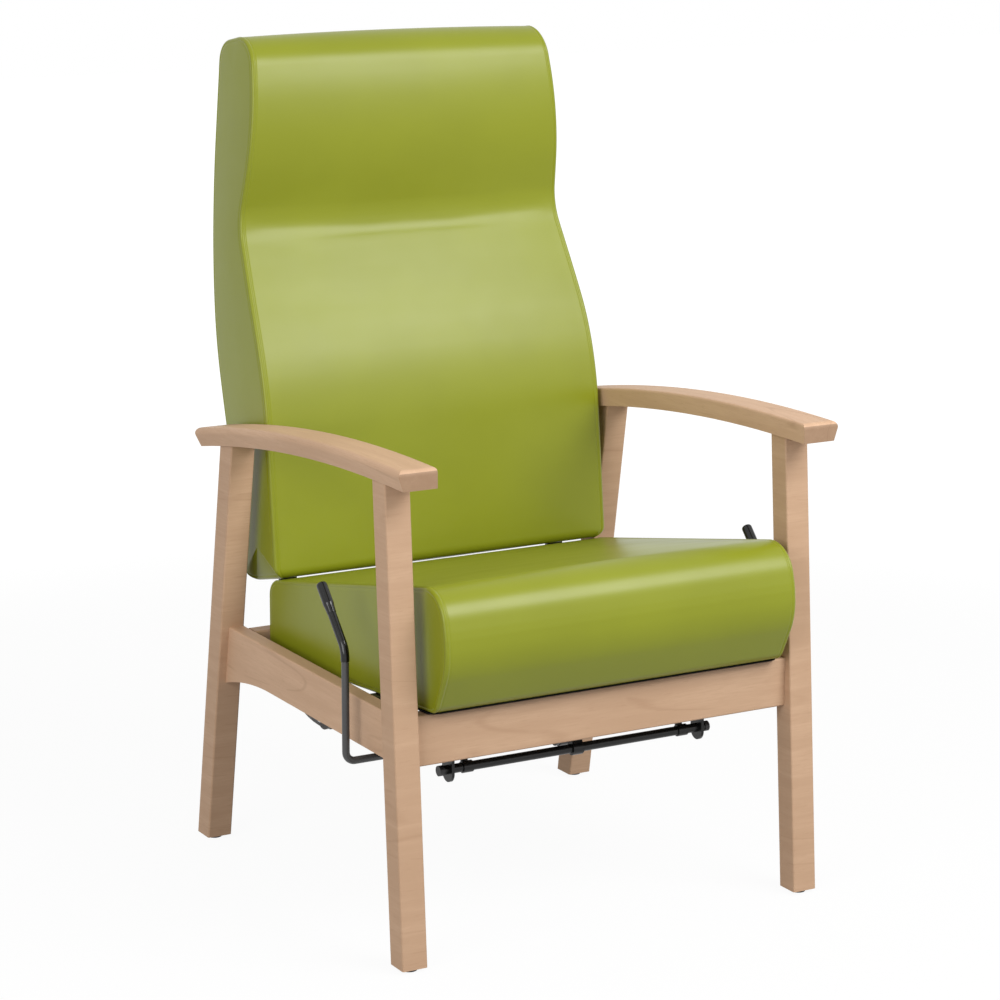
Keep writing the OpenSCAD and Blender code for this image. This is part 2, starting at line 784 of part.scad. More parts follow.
seat_rings = [for (i = [0 : seat_levels])
    let (f = share(i, seat_levels), a = along(seat_a, seat_a_run, f), b = along(seat_b, seat_b_run, f))
    let (depth = min(norm(mid(a, b) - mid(seat_a[0], seat_b[0])),
        norm(mid(a, b) - mid(seat_a[len(seat_a) - 1], seat_b[len(seat_b) - 1]))))
    ring(a, b, depth, seat_w / 2 - seat_waist * sin(180 * f), cushion_edge_r, 0,
        seat_crown * sin(180 * min(1, f * 1.12)), side_puff)];

// Seat board in the cushion's underside
board_in = 16;
board_front_in = 52;
board_front_y = -seat_front_y + board_front_in;
board_rear_y = seat_rear_y - 12;
board_open = 5;

module seat_board_shape(gap) {
    side_view(-seat_w / 2 + board_in - gap, seat_w / 2 - board_in + gap) polygon([
        [board_front_y - gap, seat_under(board_front_y) - (gap > 0 ? board_open : 0)],
        [board_rear_y + gap, seat_under(board_rear_y) - (gap > 0 ? board_open : 0)],
        [board_rear_y + gap, seat_under(board_rear_y) + seat_board_t + gap],
        [board_front_y - gap, seat_under(board_front_y) + seat_board_t + gap]]);
}

module seat_board() {
    color(ply) placed() difference() {
        seat_board_shape(0);
        both_sides() seat_bolts_at(seat_gap);
    }
}

module seat_cushion() {
    color(vinyl) placed() difference() {
        cushion(seat_rings);
        seat_board_shape(seat_gap);
    }
}

// Backrest: line a is its front, from the foot over the lumbar swell, neck and headrest
back_foot = [157, 412];
back_heel = [254.5, 388.5];
lumbar = [186, 692];
head_low = [256.5, 1030];
head_front = [288, back_top_z + 0.5];
head_rear = [393, back_top_z - 15];
neck = [288.5, neck_z];
rear_bend = [383.5, 833];
foot_in = mid(back_foot, mid(back_foot, back_heel));
heel_in = mid(back_heel, mid(back_foot, back_heel));
crest_half = [8, -1.2];
crest_share = 0.63;
crest_mid = head_front + crest_share * (head_rear - head_front);
crest = [crest_mid - crest_half, crest_mid + crest_half];
back_foot_r = 14;
back_heel_r = 10;
lumbar_r = 450;
neck_r = 80;
head_low_r = 360;
head_front_r = 60;
head_rear_r = 33;
rear_bend_r = 1300;
back_levels = 40;
back_a = rounded_line([
    corner(foot_in, 0), corner(back_foot, back_foot_r), corner(lumbar, lumbar_r), corner(neck, neck_r),
    corner(head_low, head_low_r), corner(head_front, head_front_r), corner(crest[0], 0)], 9);
back_b = rounded_line([
    corner(heel_in, 0), corner(back_heel, back_heel_r), corner(rear_bend, rear_bend_r),
    corner(head_rear, head_rear_r), corner(crest[1], 0)], 9);
back_a_run = distances(back_a);
back_b_run = distances(back_b);
taper_soft = 60;
rear_crown = 4;
function back_half(z) =
    let (d = z - taper_z)
    back_w / 2 - back_taper * (sqrt(d * d + taper_soft * taper_soft) + d) / 2;
back_rings = [for (i = [0 : back_levels])
    let (f = share(i, back_levels), a = along(back_a, back_a_run, f), b = along(back_b, back_b_run, f))
    let (m = mid(a, b))
    let (depth = min(norm(m - mid(foot_in, heel_in)), norm(m - crest_mid)))
    ring(a, b, depth, back_half(m[1]), cushion_edge_r, back_crown * sin(180 * f),
        rear_crown * sin(180 * f), side_puff)];

// Moulded board inside the backrest, and the straps' stretch ahead of it
board_foot = [227.4, 404];
board_bend = [321.5, 720];
board_head = [365.5, 1100];

module back_board_profile(gap) {
    t = back_board_t;
    polygon([
        board_foot - [gap, gap], board_foot + [t + gap, -gap], board_bend + [t + gap, 0],
        board_head + [t + gap, gap], board_head + [-gap, gap], board_bend - [gap, 0]]);
}

module back_board_shape(gap) {
    intersection() {
        side_view(-far, far) back_board_profile(gap);
        front_view(0, far) polygon([
            [-board_low_w / 2 - gap, 0], [board_low_w / 2 + gap, 0], [board_low_w / 2 + gap, board_bend[1]],
            [board_high_w / 2 + gap, board_head[1] + gap], [-board_high_w / 2 - gap, board_head[1] + gap],
            [-board_low_w / 2 - gap, board_bend[1]]]);
    }
}

// Bolts through each strap and the back board
strap_below_bend = 20;
low_bolt_down = 220;
high_bolt_down = 60;
strap_top_z = board_bend[1] - strap_below_bend;
back_bolt_z = [strap_top_z - low_bolt_down, strap_top_z - high_bolt_down];
board_lean = atan2(board_bend[0] - board_foot[0], board_bend[1] - board_foot[1]);
function board_y(z) = board_foot[0] + (z - board_foot[1]) * tan(board_lean);

module back_bolts_at(gap) {
    for (z = back_bolt_z) translate([arm_strap_x, board_y(z), z]) rotate([-90 - board_lean, 0, 0]) union() {
        translate([0, 0, -strap_t - 0.5]) cylinder(d = bolt_d + 2 * gap, h = strap_t + back_board_t);
        if (gap == 0) translate([0, 0, -strap_t - bolt_head_h]) cylinder(d = bolt_head_d, h = bolt_head_h);
    }
}

module back_board() {
    color(ply) placed() difference() {
        back_board_shape(0);
        both_sides() back_bolts_at(seat_gap);
    }
}

module back_bolts() {
    color(steel) placed() both_sides() back_bolts_at(0);
}

// Back arm: a steel strap from the torque tube, under the seat and up into the backrest
// The corners lie on the side view that the photo shows beside the rear leg
arc_low = [157.2, 197.9];
arc_low_r = 172;
rise_low = [247, 287.7];
rise_low_r = 45;
rise_top_r = 30;
function strap_point(z) = [board_y(z) - strap_t / 2 / cos(board_lean), z];
rise_top = strap_point(board_foot[1] - 8);
strap_end = strap_point(strap_top_z);
boss_wall = 6.5;
boss_r = tube_d / 2 + boss_wall;
boss_turn = 14;
strap_start = pivot + boss_r * [sin(-boss_turn), -cos(boss_turn)];
strap_line = rounded_line([
    corner(strap_start, 0), corner(arc_low, arc_low_r), corner(rise_low, rise_low_r),
    corner(rise_top, rise_top_r), corner(strap_end, 0)], 10);

module strap_outline() {
    polygon(strip(strap_line, strap_t));
}

module back_arm(side) {
    color(black) placed() on_side(side) difference() {
        union() {
            side_view(strap_in_x, strap_out_x) strap_outline();
            bar_x(strap_in_x, strap_out_x, pivot_y, pivot_z, 2 * boss_r);
        }
        bar_x(strap_in_x - 1, strap_out_x + 1, pivot_y, pivot_z, tube_d + run_d);
        back_bolts_at(seat_gap);
    }
}

// Room for the strap and its bolt heads in the backrest
pocket_t = strap_t + 6;
pocket_open = 40;
pocket_low = board_foot - [0, pocket_open];
pocket_high = [board_y(strap_top_z + 2), strap_top_z + 2];

module strap_pocket() {
    side_view(strap_in_x - seat_gap, strap_out_x + seat_gap) polygon([
        pocket_low - [pocket_t + 2, 0], pocket_low + [1, 0], board_foot + [1, 0],
        pocket_high + [1, 0], pocket_high - [pocket_t, 0], board_foot - [pocket_t, 0]]);
}

module back_cushion() {
    color(vinyl) placed() difference() {
        cushion(back_rings);
        back_board_shape(seat_gap);
        both_sides() strap_pocket();
    }
}

// Torque tube with a bored plug in each end for the pivot bolts
plug_l = 22;

module torque_tube() {
    color(black) placed() difference() {
        bar_x(-tube_half, tube_half, pivot_y, pivot_z, tube_d);
        bar_x(-tube_half - 1, tube_half + 1, pivot_y, pivot_z, tube_d - 2 * tube_wall);
    }
}

module tube_plugs() {
    color(steel) placed() both_sides() difference() {
        bar_x(tube_half - plug_l, tube_half, pivot_y, pivot_z, tube_d - 2 * tube_wall - run_d);
        bar_x(tube_half - plug_l - 1, tube_half + 1, pivot_y, pivot_z, pivot_d + run_d);
    }
}

module pivot_washers() {
    color(plastic) placed() both_sides() difference() {
        bar_x(tube_half + side_play, tube_half + side_play + washer_t, pivot_y, pivot_z, tube_d);
        bar_x(tube_half, tube_half + washer_t + 1, pivot_y, pivot_z, pivot_d + run_d);
    }
}

pivot_head_h = 6;

module pivot_bolts() {
    x0 = tube_half - plug_l + 3;
    x1 = bracket_x + bracket_t;
    color(steel) placed() both_sides() union() {
        bar_x(x0, x1 + 1, pivot_y, pivot_z, pivot_d);
        bar_x(x1, x1 + pivot_head_h, pivot_y, pivot_z, pivot_d + 8);
    }
}

// Crank ears on the torque tube, and the pin that carries the gas spring
crank = pivot - crank_r * [sin(crank_tilt), cos(crank_tilt)];
ear_t = 6;
eye_half = 10;
ear_x = eye_half + 1.5;
crank_pin_d = 10;
ear_r = 11;
pin_head_h = 3;

module ear_outline() {
    union() {
        translate(pivot) circle(boss_r);
        lobe(crank, ear_r, pivot - [boss_r * 0.9, 4], pivot + [boss_r * 0.9, -4]);
    }
}

module crank_ears() {
    color(black) placed() both_sides() difference() {
        side_view(ear_x, ear_x + ear_t) ear_outline();
        bar_x(ear_x - 1, ear_x + ear_t + 1, pivot_y, pivot_z, tube_d + run_d);
        bar_x(ear_x - 1, ear_x + ear_t + 1, crank[0], crank[1], crank_pin_d + run_d);
    }
}

module crank_pin() {
    half = ear_x + ear_t;
    color(steel) placed() union() {
        bar_x(-half - pin_head_h, half + 1, crank[0], crank[1], crank_pin_d);
        bar_x(half + side_play, half + side_play + pin_head_h, crank[0], crank[1], crank_pin_d + 5);
    }
}

// Gas spring, drawn along +Y from its front pivot and turned to its place
anchor = [-anchor_y, anchor_z];
spring_l = norm(crank - anchor);
spring_tilt = atan2(crank[1] - anchor[1], crank[0] - anchor[0]);
head_half = 12;
head_body_d = 20;
head_back = 24;
socket_l = 11;
eye_r = 13;
trunnion_d = 8;
trunnion_in = 6;
pin_d = 4;
pin_front = 21;
pin_stroke = 3;
eye_bore_d = crank_pin_d + 2 * open_slack;

module spring_frame() {
    translate([0, anchor[0], anchor[1]]) rotate([spring_tilt, 0, 0]) children();
}

module spring_head() {
    color(black) placed() spring_frame() difference() {
        union() {
            bar_y_dir(0, 0, head_back, 0, head_body_d);
            bar_x(-head_half, head_half, 0, 0, head_body_d + 4);
        }
        for (s = [-1, 1]) translate([s * (head_half - trunnion_in / 2 + 0.5), 0, 0]) rotate([0, 90, 0])
            cylinder(d = trunnion_d + run_d, h = trunnion_in + 1.2, center = true);
        bar_y_dir(0, -head_body_d, head_back - socket_l + 1, 0, pin_d + run_d);
        bar_y_dir(0, head_back - socket_l, head_back + 1, 0, rod_d + run_d);
    }
}

module trunnion_screws() {
    x1 = cheek_x + cheek_t;
    color(steel) placed() both_sides() union() {
        bar_x(head_half - trunnion_in + 0.4, x1 + 1, anchor[0], anchor[1], trunnion_d);
        bar_x(x1 + 0.1, x1 + 4, anchor[0], anchor[1], trunnion_d + 6);
    }
}

module release_pin() {
    color(steel) placed() spring_frame() union() {
        bar_y_dir(0, -pin_front, head_back - socket_l - pin_stroke - 0.5, 0, pin_d);
        bar_y_dir(0, -pin_front, -pin_front + pin_head_h, 0, pin_d + 4);
    }
}

piston_d = cylinder_d - 5;
bore_d = cylinder_d - 4;
cap_l = 7;
eye_gap = 18;
cylinder_y = spring_l - eye_gap - cylinder_l;
piston_l = 9;
piston_y = cylinder_y + cap_l + 6;

module spring_rod() {
    color(steel) placed() spring_frame() union() {
        bar_y_dir(0, head_back - socket_l + 0.2, piston_y + piston_l, 0, rod_d);
        bar_y_dir(0, piston_y, piston_y + piston_l, 0, piston_d);
    }
}

module spring_cylinder() {
    color(black) placed() spring_frame() difference() {
        union() {
            bar_y_dir(0, cylinder_y, cylinder_y + cylinder_l, 0, cylinder_d);
            bar_x(-eye_half, eye_half, spring_l, 0, 2 * eye_r);
            side_view(-eye_half, eye_half) polygon([
                [cylinder_y + cylinder_l - 1, -eye_r + 3], [spring_l, -eye_r + 1],
                [spring_l, eye_r - 1], [cylinder_y + cylinder_l - 1, eye_r - 3]]);
        }
        bar_y_dir(0, cylinder_y - 1, cylinder_y + cap_l + 1, 0, rod_d + run_d);
        bar_y_dir(0, cylinder_y + cap_l, cylinder_y + cylinder_l - cap_l, 0, bore_d);
        bar_x(-eye_half - 1, eye_half + 1, spring_l, 0, eye_bore_d);
    }
}

// Bracket behind the front rail for the spring's front pivot
cheek_x = head_half + 2 * side_play;
cheek_t = 4;
cheek_r = 11;
flange_t = 4;
flange_z0 = rail_top_z - front_rail_h + 9;
flange_z1 = rail_top_z - 10;
flange_screw_in = 11;
rail_back_y = -front_rail_y + front_rail_t;
anchor_flange = 40;
anchor_screw_x = 28;

module spring_anchor() {
    color(black) placed() difference() {
        union() {
            block([-anchor_flange, rail_back_y, flange_z0],
                [anchor_flange, rail_back_y + flange_t, flange_z1]);
            both_sides() side_view(cheek_x, cheek_x + cheek_t)
                lobe(anchor, cheek_r, [rail_back_y + 2, flange_z0 + 2], [rail_back_y + 2, flange_z1]);
        }
        both_sides() bar_x(cheek_x - 1, cheek_x + cheek_t + 1, anchor[0], anchor[1], trunnion_d + run_d);
        anchor_screws_at(seat_gap);
    }
}

module rail_screw(x, z, gap) {
    translate([x, rail_back_y + flange_t, z]) rotate([-90, 0, 0]) screw(gap);
}

function flange_screw_z() = [flange_z0 + flange_screw_in, flange_z1 - flange_screw_in];

module anchor_screws_at(gap) {
    for (x = [-1, 1]) for (z = flange_screw_z()) rail_screw(x * anchor_screw_x, z, gap);
}

module anchor_screws() {
    color(steel) placed() anchor_screws_at(0);
}

// Hangers behind the front rail for the release bar
hanger_r = 14;
hanger_flange = 30;
hanger_drop = [-bar_y + 1, bar_z - 3];
hanger_front = hanger_drop[0] - hanger_r;
hanger_rear = hanger_drop[0] + hanger_r;
hanger_arm_h = 26;

module hanger_screws_at(gap) {
    for (z = flange_screw_z()) rail_screw(hanger_x - hanger_flange / 2 - hanger_t / 2, z, gap);
}

module bar_hanger(side) {
    x0 = hanger_x - hanger_t / 2;
    color(black) placed() on_side(side) difference() {
        union() {
            block([x0 - hanger_flange + hanger_t, rail_back_y, flange_z0],
                [x0 + hanger_t, rail_back_y + flange_t, flange_z1]);
            side_view(x0, x0 + hanger_t) {
                lobe(hanger_drop, hanger_r, [hanger_front, flange_z0 + 4], [hanger_rear, flange_z0 + 4]);
                polygon([
                    [rail_back_y + 2, flange_z0 + 2], [hanger_rear, flange_z0 + 2],
                    [hanger_rear, flange_z0 + hanger_arm_h], [rail_back_y + 2, flange_z1]]);
            }
        }
        bar_x(x0 - 1, x0 + hanger_t + 1, -bar_y, bar_z, bar_d + run_d);
        hanger_screws_at(seat_gap);
    }
}

module hanger_screws() {
    color(steel) placed() both_sides() hanger_screws_at(0);
}

// Release bar with its lug, and a socket on each side for a lever
lug_half = 8;
lug_tip_r = 5;
tip_gap = 0.4;
tip = anchor + (pin_front + tip_gap + lug_tip_r) * [-cos(spring_tilt), -sin(spring_tilt)];
collar_d = 16;
collar_l = 15;
run_back = bar_y - lever_y;
run_up = lever_run_z - bar_z;
join_angle = atan2(run_up, run_back);
join_l = norm([run_back, run_up]);
socket_floor = 4;

module join_frame() {
    translate([lever_join_x, -lever_y, lever_run_z]) rotate([join_angle, 0, 0]) children();
}

module release_bar() {
    color(black) placed() difference() {
        union() {
            bar_x(-bar_l / 2, bar_l / 2, -bar_y, bar_z, bar_d);
            side_view(-lug_half, lug_half) union() {
                translate([-bar_y, bar_z]) circle(bar_d / 2 + 3);
                lobe(tip, lug_tip_r, [-bar_y + 8, bar_z + 2], [-bar_y - 8, bar_z + 2]);
            }
            both_sides()
                bar_x(lever_join_x - collar_l / 2, lever_join_x + collar_l / 2, -bar_y, bar_z, collar_d);
        }
        both_sides() join_frame() bar_y_dir(0, -join_l + socket_floor, 0, 0, lever_d + run_d);
    }
}

cap_wall = 0.8;
cap_in = 6;

module bar_end_caps() {
    x1 = bar_l / 2;
    color(plastic) placed() both_sides() difference() {
        bar_x(x1 - cap_in, x1 + cap_wall, -bar_y, bar_z, bar_d + 2 * cap_wall);
        bar_x(x1 - cap_in - 1, x1 + 0.1, -bar_y, bar_z, bar_d + run_d);
    }
}

// Levers: a rod bent along its corners [x, y, z] and a grip, drawn for the left side
low_bend_r = 13;
join_bend_r = 11;
knee_r = 30;
handle_l = (lever_top_z - knee_z) / cos(handle_lean);
grip_taper = 10;
grip_end = 2;
rod_sides = 16;

// Arc of radius r in space that rounds the corner q between p and t
function bend(p, q, t, r, steps) =
    let (u = unit(p - q), v = unit(t - q))
    let (half = acos(u * v) / 2, turn = 180 - 2 * half)
    let (c = q + unit(u + v) * r / sin(half))
    let (s = q + u * r / tan(half) - c, e = q + v * r / tan(half) - c)
    [for (k = [0 : steps]) let (g = turn * k / steps)
        c + (s * sin(turn - g) + e * sin(g)) / sin(turn)];

// Round rod along a path; side_dir is a direction that the path never runs along
module bent_rod(path, d, side_dir) {
    n = len(path);
    m = rod_sides;
    rings = [for (i = [0 : n - 1])
        let (a = unit(path[min(i + 1, n - 1)] - path[min(i, n - 2)]))
        let (b = unit(path[max(i, 1)] - path[max(i - 1, 0)]))
        let (t = unit(a + b), u = unit(side_dir - (side_dir * t) * t), w = cross(t, u))
        for (j = [0 : m - 1]) path[i] + d / 2 * (cos(360 * j / m) * u + sin(360 * j / m) * w)];
    polyhedron(
        points = rings,
        faces = concat(
            [[for (j = [0 : m - 1]) j]],
            [for (i = [0 : n - 2]) for (j = [0 : m - 1]) let (k = (j + 1) % m)
                [i * m + j, (i + 1) * m + j, (i + 1) * m + k, i * m + k]],
            [[for (j = [m - 1 : -1 : 0]) (n - 1) * m + j]]));
}

module handle_frame() {
    translate([lever_x, -lever_y, knee_z]) rotate([-handle_lean, 0, 0]) children();
}

handle_dir = [0, sin(handle_lean), cos(handle_lean)];
rod_knee = [lever_x, -lever_y, knee_z];
rod_low = [lever_x, -lever_y, lever_run_z];
rod_join = [lever_join_x, -lever_y, lever_run_z];
rod_top = rod_knee + handle_dir * (handle_l - grip_end - 2);
rod_foot = rod_join - [0, cos(join_angle), sin(join_angle)] * (join_l - socket_floor - 0.3);
rod_path = concat(
    [rod_foot], bend(rod_foot, rod_join, rod_low, join_bend_r, 6),
    bend(rod_join, rod_low, rod_knee, low_bend_r, 6), bend(rod_low, rod_knee, rod_top, knee_r, 6),
    [rod_top]);

module lever_rod(side) {
    color(black) placed() on_side(side) bent_rod(rod_path, lever_d, [1, 1, -1]);
}

module lever_grip(side) {
    r0 = lever_d / 2 + run_gap;
    r1 = grip_d / 2;
    color(plastic) placed() on_side(side) handle_frame() translate([0, 0, handle_l - grip_l])
        rotate_extrude() polygon(concat(
            [[r0, 0], [r0 + 0.9, 0], [r1 - 0.6, grip_taper], [r1, grip_taper + 4]],
            [for (a = [0 : 15 : 90]) [r1 - 4 + 4 * cos(a), grip_l - 4 + 4 * sin(a)]],
            [[0, grip_l], [0, grip_l - grip_end], [r0, grip_l - grip_end]]));
}

front_leg(right);  // front_leg_right
front_leg(left);  // front_leg_left
rear_leg(right);  // rear_leg_right
rear_leg(left);  // rear_leg_left
armrest(right);  // armrest_right
armrest(left);  // armrest_left
side_rail(right);  // side_rail_right
side_rail(left);  // side_rail_left
front_rail();
rear_rail();
corner_blocks();
arm_dowels();
leg_glides();
block_screws();
front_seat_bar();
rear_seat_bar();
seat_bar_screws();
pivot_bracket(right);  // pivot_bracket_right
pivot_bracket(left);  // pivot_bracket_left
seat_board();
seat_bolts();
seat_cushion();
bar_hanger(right);  // bar_hanger_right
bar_hanger(left);  // bar_hanger_left
hanger_screws();
spring_anchor();
anchor_screws();
trunnion_screws();
pivot_bolts();
torque_tube();
tube_plugs();
pivot_washers();
back_arm(right);  // back_arm_right
back_arm(left);  // back_arm_left
crank_ears();
crank_pin();
back_board();
back_bolts();
back_cushion();
release_bar();
bar_end_caps();
lever_rod(right);  // lever_rod_right
lever_rod(left);  // lever_rod_left
lever_grip(right);  // lever_grip_right
lever_grip(left);  // lever_grip_left
release_pin();
spring_head();
spring_rod();
spring_cylinder();
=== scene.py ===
import json
import math
import bmesh
import bpy
import numpy as np
from mathutils import Matrix, Vector
from mathutils.kdtree import KDTree


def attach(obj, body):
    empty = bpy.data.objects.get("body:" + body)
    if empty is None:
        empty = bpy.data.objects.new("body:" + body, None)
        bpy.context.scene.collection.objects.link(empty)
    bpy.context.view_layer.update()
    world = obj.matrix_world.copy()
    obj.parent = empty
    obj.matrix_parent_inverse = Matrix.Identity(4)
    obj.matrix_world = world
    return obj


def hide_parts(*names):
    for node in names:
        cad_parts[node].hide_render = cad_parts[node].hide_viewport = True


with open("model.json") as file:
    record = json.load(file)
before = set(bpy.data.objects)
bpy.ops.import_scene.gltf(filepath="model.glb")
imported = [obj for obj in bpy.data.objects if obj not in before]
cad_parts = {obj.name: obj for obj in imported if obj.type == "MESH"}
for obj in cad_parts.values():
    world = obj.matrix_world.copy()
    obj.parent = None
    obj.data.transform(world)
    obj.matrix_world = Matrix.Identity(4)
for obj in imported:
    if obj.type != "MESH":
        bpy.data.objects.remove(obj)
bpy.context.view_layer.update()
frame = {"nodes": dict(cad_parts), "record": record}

nodes = frame["nodes"]
midY = 28.05    # mm from the drawing's origin to the middle of the chair, front to rear
print("stage: frame loaded,", len(nodes), "nodes")


class Val:
    # a socket that takes part in sums
    def __init__(self, finish, socket):
        self.finish, self.socket = finish, socket

    def sum(self, operation, *inputs):
        return self.finish.make("ShaderNodeMath", {"operation": operation}, dict(enumerate(inputs)))

    def __add__(self, other): return self.sum("ADD", self, other)
    def __radd__(self, other): return self.sum("ADD", other, self)
    def __sub__(self, other): return self.sum("SUBTRACT", self, other)
    def __rsub__(self, other): return self.sum("SUBTRACT", other, self)
    def __mul__(self, other): return self.sum("MULTIPLY", self, other)
    def __rmul__(self, other): return self.sum("MULTIPLY", other, self)
    def __abs__(self): return self.sum("ABSOLUTE", self)


class Finish:
    # a material, or a geometry tree, whose nodes all come from make()
    def __init__(self, name, tree=None):
        self.material = None
        if tree is None:
            self.material = bpy.data.materials.new(name)
            self.material.use_nodes = True
            tree = self.material.node_tree
            tree.nodes.clear()
        self.tree = tree

    def make(self, kind, settings=None, inputs=None, output=0):
        node = self.tree.nodes.new(kind)
        for key, value in (settings or {}).items():
            setattr(node, key, value)
        for key, value in (inputs or {}).items():
            for item in value if isinstance(value, list) else [value]:
                if isinstance(item, Val):
                    self.tree.links.new(item.socket, node.inputs[key])
                else:
                    node.inputs[key].default_value = item
        return Val(self, node.outputs[output]) if len(node.outputs) else None

    def place(self, scale=None, turn=None):
        # where the point lies on the piece in metres, first turned, then stretched
        where = self.make("ShaderNodeTexCoord", output="Object")
        if turn:
            where = self.make("ShaderNodeMapping", {}, {"Vector": where, "Rotation": turn})
        if scale:
            where = self.make("ShaderNodeVectorMath", {"operation": "MULTIPLY"}, {0: where, 1: scale})
        return where

    def noise(self, where, scale=1.0, detail=3.0, rough=0.5, warp=0.0):
        return self.make("ShaderNodeTexNoise", {}, {"Vector": where, "Scale": scale, "Detail": detail,
                                                    "Roughness": rough, "Distortion": warp})

    def between(self, value, low, high, toLow=0.0, toHigh=1.0):
        return self.make("ShaderNodeMapRange", {"interpolation_type": "SMOOTHSTEP"}, {
            "Value": value, "From Min": low, "From Max": high, "To Min": toLow, "To Max": toHigh})

    def blendColour(self, amount, first, second, way="MIX"):
        return self.make("ShaderNodeMix", {"data_type": "RGBA", "blend_type": way},
                         {0: amount, 6: rgba(first), 7: rgba(second)}, 2)

    def bump(self, height, distance, strength=1.0):
        return self.make("ShaderNodeBump", {}, {"Height": height, "Distance": distance,
                                                "Strength": strength})

    def surface(self, **inputs):
        named = {key.replace("_", " "): value for key, value in inputs.items()}
        shader = self.make("ShaderNodeBsdfPrincipled", {}, named)
        self.make("ShaderNodeOutputMaterial", {}, {"Surface": shader})
        return self.material


def rgba(colour):
    return (*colour, 1.0) if isinstance(colour, tuple) and len(colour) == 3 else colour


# grain and the depths are in metres; ripple is how fine the waves are along x, y and z, per metre
vinyl = {"base": (0.240, 0.268, 0.011), "deep": (0.226, 0.252, 0.010), "mottle": 7.0,
         "specular": 0.36, "roughness": 0.34, "streak": 0.07, "cloud": 0.05, "grain": 0.0011,
         "poreTint": 0.05, "poreDepth": 0.0000126, "fineDepth": 0.0000054,
         "ripple": (2.4, 30.0, 30.0), "rippleDepth": 0.0001}


def vinylFinish(spec):
    f = Finish("greenVinyl")
    where = f.place()
    cloud = f.noise(where, spec["mottle"], 3.0)
    pores = f.make("ShaderNodeTexVoronoi", {"feature": "SMOOTH_F1"},
                   {"Vector": where, "Scale": 1 / spec["grain"], "Smoothness": 0.6})
    fine = f.noise(where, 0.6 / spec["grain"], 2.0)
    ripple = f.noise(f.place(spec["ripple"]), 1.0, 2.0, 0.45)    # the stretched cover's slight waves
    colour = f.blendColour(f.between(cloud, 0.3, 0.7), spec["deep"], spec["base"])
    colour = f.blendColour(f.between(pores, 0.0, 0.7, 0.0, spec["poreTint"]), colour, spec["deep"])
    rough = spec["roughness"] + spec["streak"] * (ripple - 0.5)
    rough = rough + spec["cloud"] * (f.noise(where, 26.0, 4.0) - 0.5)
    height = pores * spec["poreDepth"] + fine * spec["fineDepth"] + ripple * spec["rippleDepth"]
    return f.surface(Base_Color=colour, Roughness=rough, Normal=f.bump(height, 1.0),
                     Specular_IOR_Level=spec["specular"])


# fibre, lineLength and lineGap are in metres; the shares say how much of each mark is mixed in
beech = {"pale": (0.572, 0.378, 0.247), "dark": (0.512, 0.330, 0.211), "fleck": (0.435, 0.266, 0.162),
         "line": (0.400, 0.240, 0.145), "endGrain": 0.70, "roughness": 0.5, "specular": 0.16,
         "fibre": (0.034, 0.0022), "lineGap": 0.040, "lineLength": 0.5, "lineTilt": 0.075,
         "streakShare": 0.55, "fleckShare": 0.35, "lineShare": 0.34, "fibreDepth": 0.00005}
# painted light: the armrests and side rails get a paler beech colour, which stands in for light falling
# on them
sideBoardsPaintedLight = {"pale": (0.646, 0.427, 0.279), "dark": (0.580, 0.374, 0.239), "endGrain": 0.60}


def beechFinish(name, spec, stretch, fibreWay):
    # stretch marks with 1 the axes that the fine streaks run along, and with 0 those across them
    f = Finish(name)
    long, thin = spec["fibre"]
    size = lambda k: tuple(1 / (k * (long if run else thin)) for run in stretch)
    streak = f.noise(f.place(size(1)), 1.0, 3.0, 0.55, 0.2)
    tone = f.noise(f.place(size(6)), 1.0, 3.0, 0.5, 0.3)
    broad = f.noise(f.place(), 5.0, 2.0)
    fleck = f.between(f.noise(f.place(size(0.55)), 1.0, 2.0, 0.5), 0.60, 0.74)
    tilt = spec["lineTilt"]
    drawn = tuple(1 / (spec["lineLength"] if run else spec["lineGap"]) for run in stretch)
    rings = abs(f.noise(f.place(drawn, (tilt, -tilt, tilt * 0.6)), 1.0, 0.0) - 0.5)
    line = f.between(rings, 0.0, 0.016, 1.0, 0.0) * f.between(f.noise(f.place(), 14.0, 1.0), 0.47, 0.62)
    colour = f.blendColour(f.between(tone * 0.6 + broad * 0.4, 0.36, 0.64), spec["pale"], spec["dark"])
    colour = f.blendColour(f.between(streak, 0.35, 0.68, 0.0, spec["streakShare"]), colour, spec["dark"])
    colour = f.blendColour(fleck * spec["fleckShare"], colour, spec["fleck"])
    colour = f.blendColour(line * spec["lineShare"], colour, spec["line"])
    facing = abs(f.make("ShaderNodeVectorMath", {"operation": "DOT_PRODUCT"}, {
        0: f.make("ShaderNodeTexCoord", output="Normal"), 1: fibreWay}, "Value"))
    endShade = tuple(spec["endGrain"] * k for k in (1.0, 0.98, 0.96))
    endColour = f.blendColour(1.0, colour, endShade, "MULTIPLY")
    colour = f.blendColour(f.between(facing, 0.80, 0.93), colour, endColour)
    rough = spec["roughness"] + 0.12 * (streak - 0.5)
    return f.surface(Base_Color=colour, Roughness=rough, Specular_IOR_Level=spec["specular"],
                     Normal=f.bump(streak - fleck * 0.5, spec["fibreDepth"], 0.5))


# layer is one veneer's thickness in metres; figure is how fine the face's pattern is, per metre
plywood = {"layer": 0.0032, "pale": (0.60, 0.42, 0.24), "glue": (0.44, 0.28, 0.14),
           "face": (0.66, 0.50, 0.31), "figure": (14, 130, 130), "roughness": 0.62}


